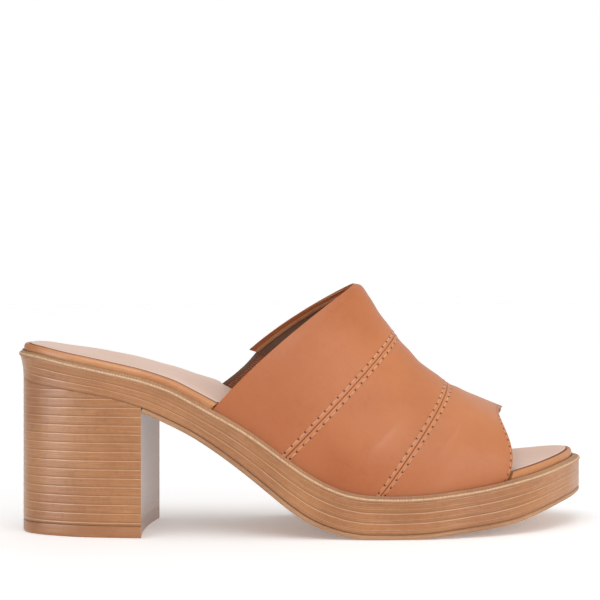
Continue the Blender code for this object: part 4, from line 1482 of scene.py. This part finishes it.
@dataclass
class Upper:
    """Leather band, its facing strip, lining, gusset and stitches.

    Crown is the place round the section where the gusset begins, and gore
    the section numbers between which it lies. Back, span, edge and depth
    are metres from the topline, the toe edge, the gusset and the outer face.
    """

    wall: float = 0.0019
    leather: float = 0.0014
    crown: float = 0.775
    gore: tuple[float, float] = (0.06, 0.56)
    sag: float = 0.085
    gore_tuck: float = 0.02
    gore_turn: float = 0.72
    gore_depth: tuple[float, float] = (0.0005, 0.0013)
    lip: float = 0.00026
    lip_place: float = 0.00090
    lip_width: float = 0.00055
    depth: float = 0.00032
    groove_width: float = 0.00020
    lean: float = 0.25
    dip: float = 0.00014
    past_foot: tuple[float, float] = (1.3, 1.6)
    leather_edge: float = 0.0075
    lining_edge: float = 0.012
    lining_back: tuple[float, float] = (0.0049, 0.0016)
    facing_span: tuple[float, float] = (0.0029, 0.0043)
    facing_thick: float = 0.0002
    facing_film: float = 0.00002
    film: float = 0.00005

    def build(self) -> list[bpy.types.Object]:
        """Build every piece of the upper in order."""
        return [self.band(), self.facing(), self.lining(), self.gusset(), *self.stitches()]

    def columns(self, count: int, edge: float) -> np.ndarray:
        """Places round a section, with a line at the gusset and past the feet.

        Args:
            count: places on one flank.
            edge: how far the line stays off the gusset.

        Returns:
            Places from the outer foot to the inner foot.
        """
        half = np.linspace(0.0, 1.0, count)
        near = int(np.argmin(np.abs(half - (self.crown - edge))))
        half[near] = self.crown - edge
        foot = np.array(self.past_foot)
        return np.concatenate([-foot[::-1], -half[:0:-1], half, foot])

    def row_table(self, edge: float, toe: float, fine: float) -> tuple[np.ndarray, np.ndarray, int]:
        """Rows of a sheet from the topline to the toe opening.

        Args:
            edge: how far the first row stays off the topline.
            toe: how far the last row stays off the toe edge.
            fine: share of the full count of rows.

        Returns:
            Section numbers, distances from them and the row at the gusset.
        """
        near = (-0.0026, -0.0021, -0.0017, -0.0013, -0.0010, -0.0007, -0.00045, -0.00028,
                -0.00014, 0.0, 0.00014, 0.00028, 0.00045, 0.0007, 0.0010, 0.0013, 0.0017, 0.0021,
                0.0026)
        rows, away = [0.0] * 3, [edge, edge + 0.0005, edge + 0.0012]
        spans = ((0.11 + edge * 20.0, self.gore[1] - 0.02, 22), (self.gore[1], 0.84, 18),
                 (1.16, 1.87, 44), (2.13, 2.91, 46))
        gusset = 0
        for k, (low, high, count) in enumerate(spans):
            count = max(4, int(count * fine))
            rows += list(np.linspace(low, high, count))
            away += [0.0] * count
            if k == 1:
                gusset = len(rows) - count
                away[gusset] = edge
            if k in (1, 2):
                rows += [float(k)] * len(near)
                away += list(near)
        rows += [TOE_EDGE] * 3
        away += [-toe - 0.0012, -toe - 0.0005, -toe]
        return np.array(rows), np.array(away), gusset

    def lips(self, off: np.ndarray | float) -> np.ndarray:
        """Height of the soft lips at a distance from a seam: a bell curve."""
        return self.lip * np.exp(-((off - self.lip_place) / self.lip_width) ** 2)

    def relief(self, seam: np.ndarray, s: np.ndarray, t: np.ndarray) -> np.ndarray:
        """Height of seams and creases over the plain leather.

        Each seam is a narrow groove between two soft lips: a bell curve for
        each lip less a sharper one for the groove. A crease is a shallow dip,
        the product of a bell curve across it and one along it.

        Args:
            seam: signed distance from the nearest seam.
            s: section number.
            t: place round the section.

        Returns:
            Heights.
        """
        off = np.abs(seam)
        height = self.lips(off) - self.depth * np.exp(-(off / self.groove_width) ** 2)
        for middle_s, middle_t, wide, long, deep in CREASES:
            across = (s - middle_s - self.lean * (t - middle_t)) / wide
            height = height - deep * np.exp(-across ** 2 - ((t - middle_t) / long) ** 2)
        return height

    def band(self) -> bpy.types.Object:
        """Build the leather band.

        Returns:
            The finished object.
        """
        radius = self.leather / 2.0
        rows, away, gusset = self.row_table(radius, radius, 1.0)
        columns = self.columns(104, self.leather_edge)
        corner = (gusset, int(np.argmin(np.abs(columns - self.crown + self.leather_edge))))
        wall = Wall("upper_leather", Dress.UPPER, Slot.LEATHER, ("upper",), 0.0, -self.leather,
                    rows, away, columns, corner, self.relief)
        return wall.build()

    def facing(self) -> bpy.types.Object:
        """Build the narrow strip that covers the turned edge of the topline.

        Returns:
            The finished object.
        """
        away = np.linspace(*self.facing_span, 6)
        columns = np.linspace(-self.past_foot[0], self.crown - self.lining_edge, 150)
        wall = Wall("topline_facing", Dress.FACING, Slot.LEATHER, (), -self.leather - self.facing_film,
                    -self.wall - self.facing_thick, away * 0.0, away, columns)
        return wall.build()

    def lining(self) -> bpy.types.Object:
        """Build the lining sheet inside the leather.

        Returns:
            The finished object.
        """
        rows, away, gusset = self.row_table(*self.lining_back, 0.6)
        columns = self.columns(70, self.lining_edge)
        corner = (gusset, int(np.argmin(np.abs(columns - self.crown + self.lining_edge))))
        wall = Wall("upper_lining", Dress.LINING, Slot.LEATHER, (), -self.leather - self.film,
                    -self.wall, rows, away, columns, corner)
        return wall.build()

    def gusset(self) -> bpy.types.Object:
        """Build the ribbed elastic gusset, tucked into the leather's edge.

        Returns:
            The finished object.
        """
        columns = np.concatenate([np.linspace(self.crown - self.gore_tuck, 1.0, 70), self.past_foot])
        share = np.linspace(0.0, 1.0, 60)[:, None]
        sag = np.sin(np.clip((1.0 - columns) / (1.0 - self.crown), 0.0, 1.0) * math.pi * self.gore_turn)
        first = self.gore[0] + self.sag * sag[None, :]
        rows = first + (self.gore[1] + 0.03 - first) * share
        wall = Wall("gore_web", Dress.ELASTIC, Slot.GORE, ("gore",), -self.gore_depth[0],
                    -self.gore_depth[1], rows, np.zeros(60), columns)
        return wall.build()

    def stitches(self) -> list[bpy.types.Object]:
        """Build the threads along both seams and the toe edge.

        Returns:
            One object for each row of stitches.
        """
        rows = [(f"stitches_{place}_{side}", s, aside, SEAM_PITCH, 0.00016)
                for place, s in (("rear", REAR_SEAM), ("front", FRONT_SEAM))
                for side, aside in (("a", -STITCH_LINE), ("b", STITCH_LINE))]
        rows.append(("stitches_toe", TOE_EDGE, -STITCH_LINE, TOE_PITCH, 0.00009))
        return [self.thread_row(*row) for row in rows]

    def thread_row(self, name: str, s: float, offset: float, pitch: float,
                   radius: float) -> bpy.types.Object:
        """Build one row of short stitches that dip into their holes.

        A stitch is a tube along the row: its centre rises as a sine over the
        leather and its radius shrinks to the two holes.

        Args:
            name: name of the row.
            s: section number of the guide line.
            offset: distance from the guide line.
            pitch: distance between holes.
            radius: radius of the thread.

        Returns:
            The finished object.
        """
        count = 1601
        t = np.linspace(-0.995, 0.995, count)
        base = np.full_like(t, s)
        _, _, pace = LAST.band_frame(base, t)
        at = np.clip(base + offset / pace, 0.0, TOE_EDGE)
        line = LAST.band(at, t)
        walk = np.concatenate([[0.0], np.cumsum(np.linalg.norm(np.diff(line, axis=0), axis=1))])
        walk = walk - walk[count // 2]
        first, last = math.ceil(walk[0] / pitch - 0.5), math.floor(walk[-1] / pitch - 0.5)
        holes = (np.arange(first, last) + 0.5) * pitch
        u = np.linspace(0.06, 0.94, 9)
        t_at = np.interp(holes[:, None] + pitch * u[None, :], walk, t)
        s_at = np.interp(t_at, t, at)
        normal, toward, _ = LAST.band_frame(s_at, t_at)
        bed = self.lips(abs(offset)) if s < TOE_EDGE else 0.0
        arch = np.sin(math.pi * u)[None, :]
        centre = LAST.band(s_at, t_at) + normal * (bed - self.dip + self.dip * arch)[..., None]
        thick = radius * arch ** 0.35 + 0.00002
        turn = np.linspace(0.0, 2.0 * math.pi, 9)
        ring = (normal[:, :, None, :] * np.cos(turn)[None, None, :, None]
                + toward[:, :, None, :] * np.sin(turn)[None, None, :, None])
        tube = centre[:, :, None, :] + ring * np.broadcast_to(thick, t_at.shape)[:, :, None, None]
        ends = [np.broadcast_to(centre[:, k, None, None, :], tube[:, :1].shape) for k in (0, -1)]
        whole = np.concatenate([ends[0], tube, ends[1]], axis=1)
        lay = np.zeros((*whole.shape[1:3], 2))
        return build_piece(name, [Patch(one, lay, lay) for one in whole], Dress.THREAD)


@dataclass
class Studio:
    """Pale floor, soft lights and the camera."""

    lens: float = 91.5
    place: tuple[float, float, float] = (-0.0521, -0.6478, 0.1043)
    turn: float = -4.34
    shift: float = -20.0 / 600.0

    def build(self) -> None:
        """Build the studio."""
        bpy.context.scene.view_settings.view_transform = "Standard"
        self.floor()
        self.sun()
        self.light("front", (0.90, -1.10, 0.42), (0.03, 0.0, 0.05), (0.8, 0.8), 4.6)
        self.light("heel_glint", (-0.86, -0.50, 0.10), (-0.10, 0.0, 0.05), (0.09, 0.9), 7.0, False)
        self.light("flank_glint", (-0.30, -1.20, 1.00), (0.0, 0.0, 0.06), (0.8, 0.4), 7.0, False)
        self.world()
        self.camera()

    def floor(self) -> None:
        """Lay the pale floor."""
        mesh = bpy.data.meshes.new("floor")
        half = 6.0
        mesh.from_pydata([(-half, -half, 0.0), (half, -half, 0.0), (half, half, 0.0), (-half, half, 0.0)],
                         [], [(0, 1, 2, 3)])
        item = bpy.data.materials.new("floor_white")
        item.use_nodes = True
        item.node_tree.nodes.clear()
        graph = Graph(item.node_tree)
        speck = graph.noise(graph.object_place(), 220.0, 3.0)
        colour = graph.mix(graph.product(speck, 0.04), (0.96, 0.96, 0.96), (0.90, 0.90, 0.90))
        shader = graph.node("ShaderNodeBsdfPrincipled", {"Base Color": colour, "Roughness": 0.7,
                                                         "Emission Strength": 0.20})
        graph.node("ShaderNodeOutputMaterial", {"Surface": shader.outputs[0]})
        mesh.materials.append(item)
        plane = bpy.data.objects.new("floor", mesh)
        bpy.context.scene.collection.objects.link(plane)

    def light(self, name: str, place: tuple[float, float, float], aim: tuple[float, float, float],
              size: tuple[float, float], power: float, diffuse: bool = True) -> None:
        """Add a soft box that looks at a point.

        Args:
            name: name of the light.
            place: where it stands.
            aim: what it looks at.
            size: width and height.
            power: watts.
            diffuse: False for a light that only shows in reflections.
        """
        data = bpy.data.lights.new(name, "AREA")
        data.shape = "RECTANGLE"
        data.size, data.size_y = size
        data.energy = power
        lamp = bpy.data.objects.new(name, data)
        lamp.location = place
        back = np.array(place) - np.array(aim)
        flat = math.hypot(back[0], back[1])
        lamp.rotation_euler = (math.atan2(flat, back[2]), 0.0, math.atan2(back[0], -back[1]))
        lamp.visible_diffuse = diffuse
        bpy.context.scene.collection.objects.link(lamp)

    def sun(self) -> None:
        """Add the wide overhead light that whitens the floor."""
        data = bpy.data.lights.new("sky_panel", "SUN")
        data.energy = 1.25
        data.angle = math.radians(50.0)
        lamp = bpy.data.objects.new("sky_panel", data)
        lamp.rotation_euler = (math.radians(16.0), math.radians(-12.0), 0.0)
        bpy.context.scene.collection.objects.link(lamp)

    def world(self) -> None:
        """Set a white backdrop whose light is weaker from the heel's side."""
        world = bpy.data.worlds.new("surround")
        world.use_nodes = True
        world.node_tree.nodes.clear()
        graph = Graph(world.node_tree)
        seen = graph.node("ShaderNodeLightPath").outputs["Is Camera Ray"]
        way = graph.node("ShaderNodeTexCoord").outputs["Generated"]
        across = graph.node("ShaderNodeSeparateXYZ", {0: way}).outputs[0]
        light = graph.step(across, -0.75, 0.35, 0.22, 0.66)
        strength = graph.math("MAXIMUM", light, seen)
        back = graph.node("ShaderNodeBackground", {"Color": (1.0, 1.0, 1.0, 1.0), "Strength": strength})
        graph.node("ShaderNodeOutputWorld", {"Surface": back.outputs[0]})
        bpy.context.scene.world = world

    def camera(self) -> None:
        """Place the camera at the photo's angle."""
        data = bpy.data.cameras.new("camera")
        data.sensor_width = 36.0
        data.lens = self.lens
        data.shift_y = self.shift
        data.clip_start = 0.01
        eye = bpy.data.objects.new("camera", data)
        eye.location = self.place
        eye.rotation_euler = (math.pi / 2.0, 0.0, math.radians(self.turn))
        bpy.context.scene.collection.objects.link(eye)
        bpy.context.scene.camera = eye


def main() -> None:
    logging.basicConfig(level=logging.INFO, format="%(message)s")
    for part in (Sole(), Upper()):
        for piece in part.build():
            LOG.info("%s: %d faces", piece.name, len(piece.data.polygons))
    Studio().build()


if __name__ == "__main__":
    main()
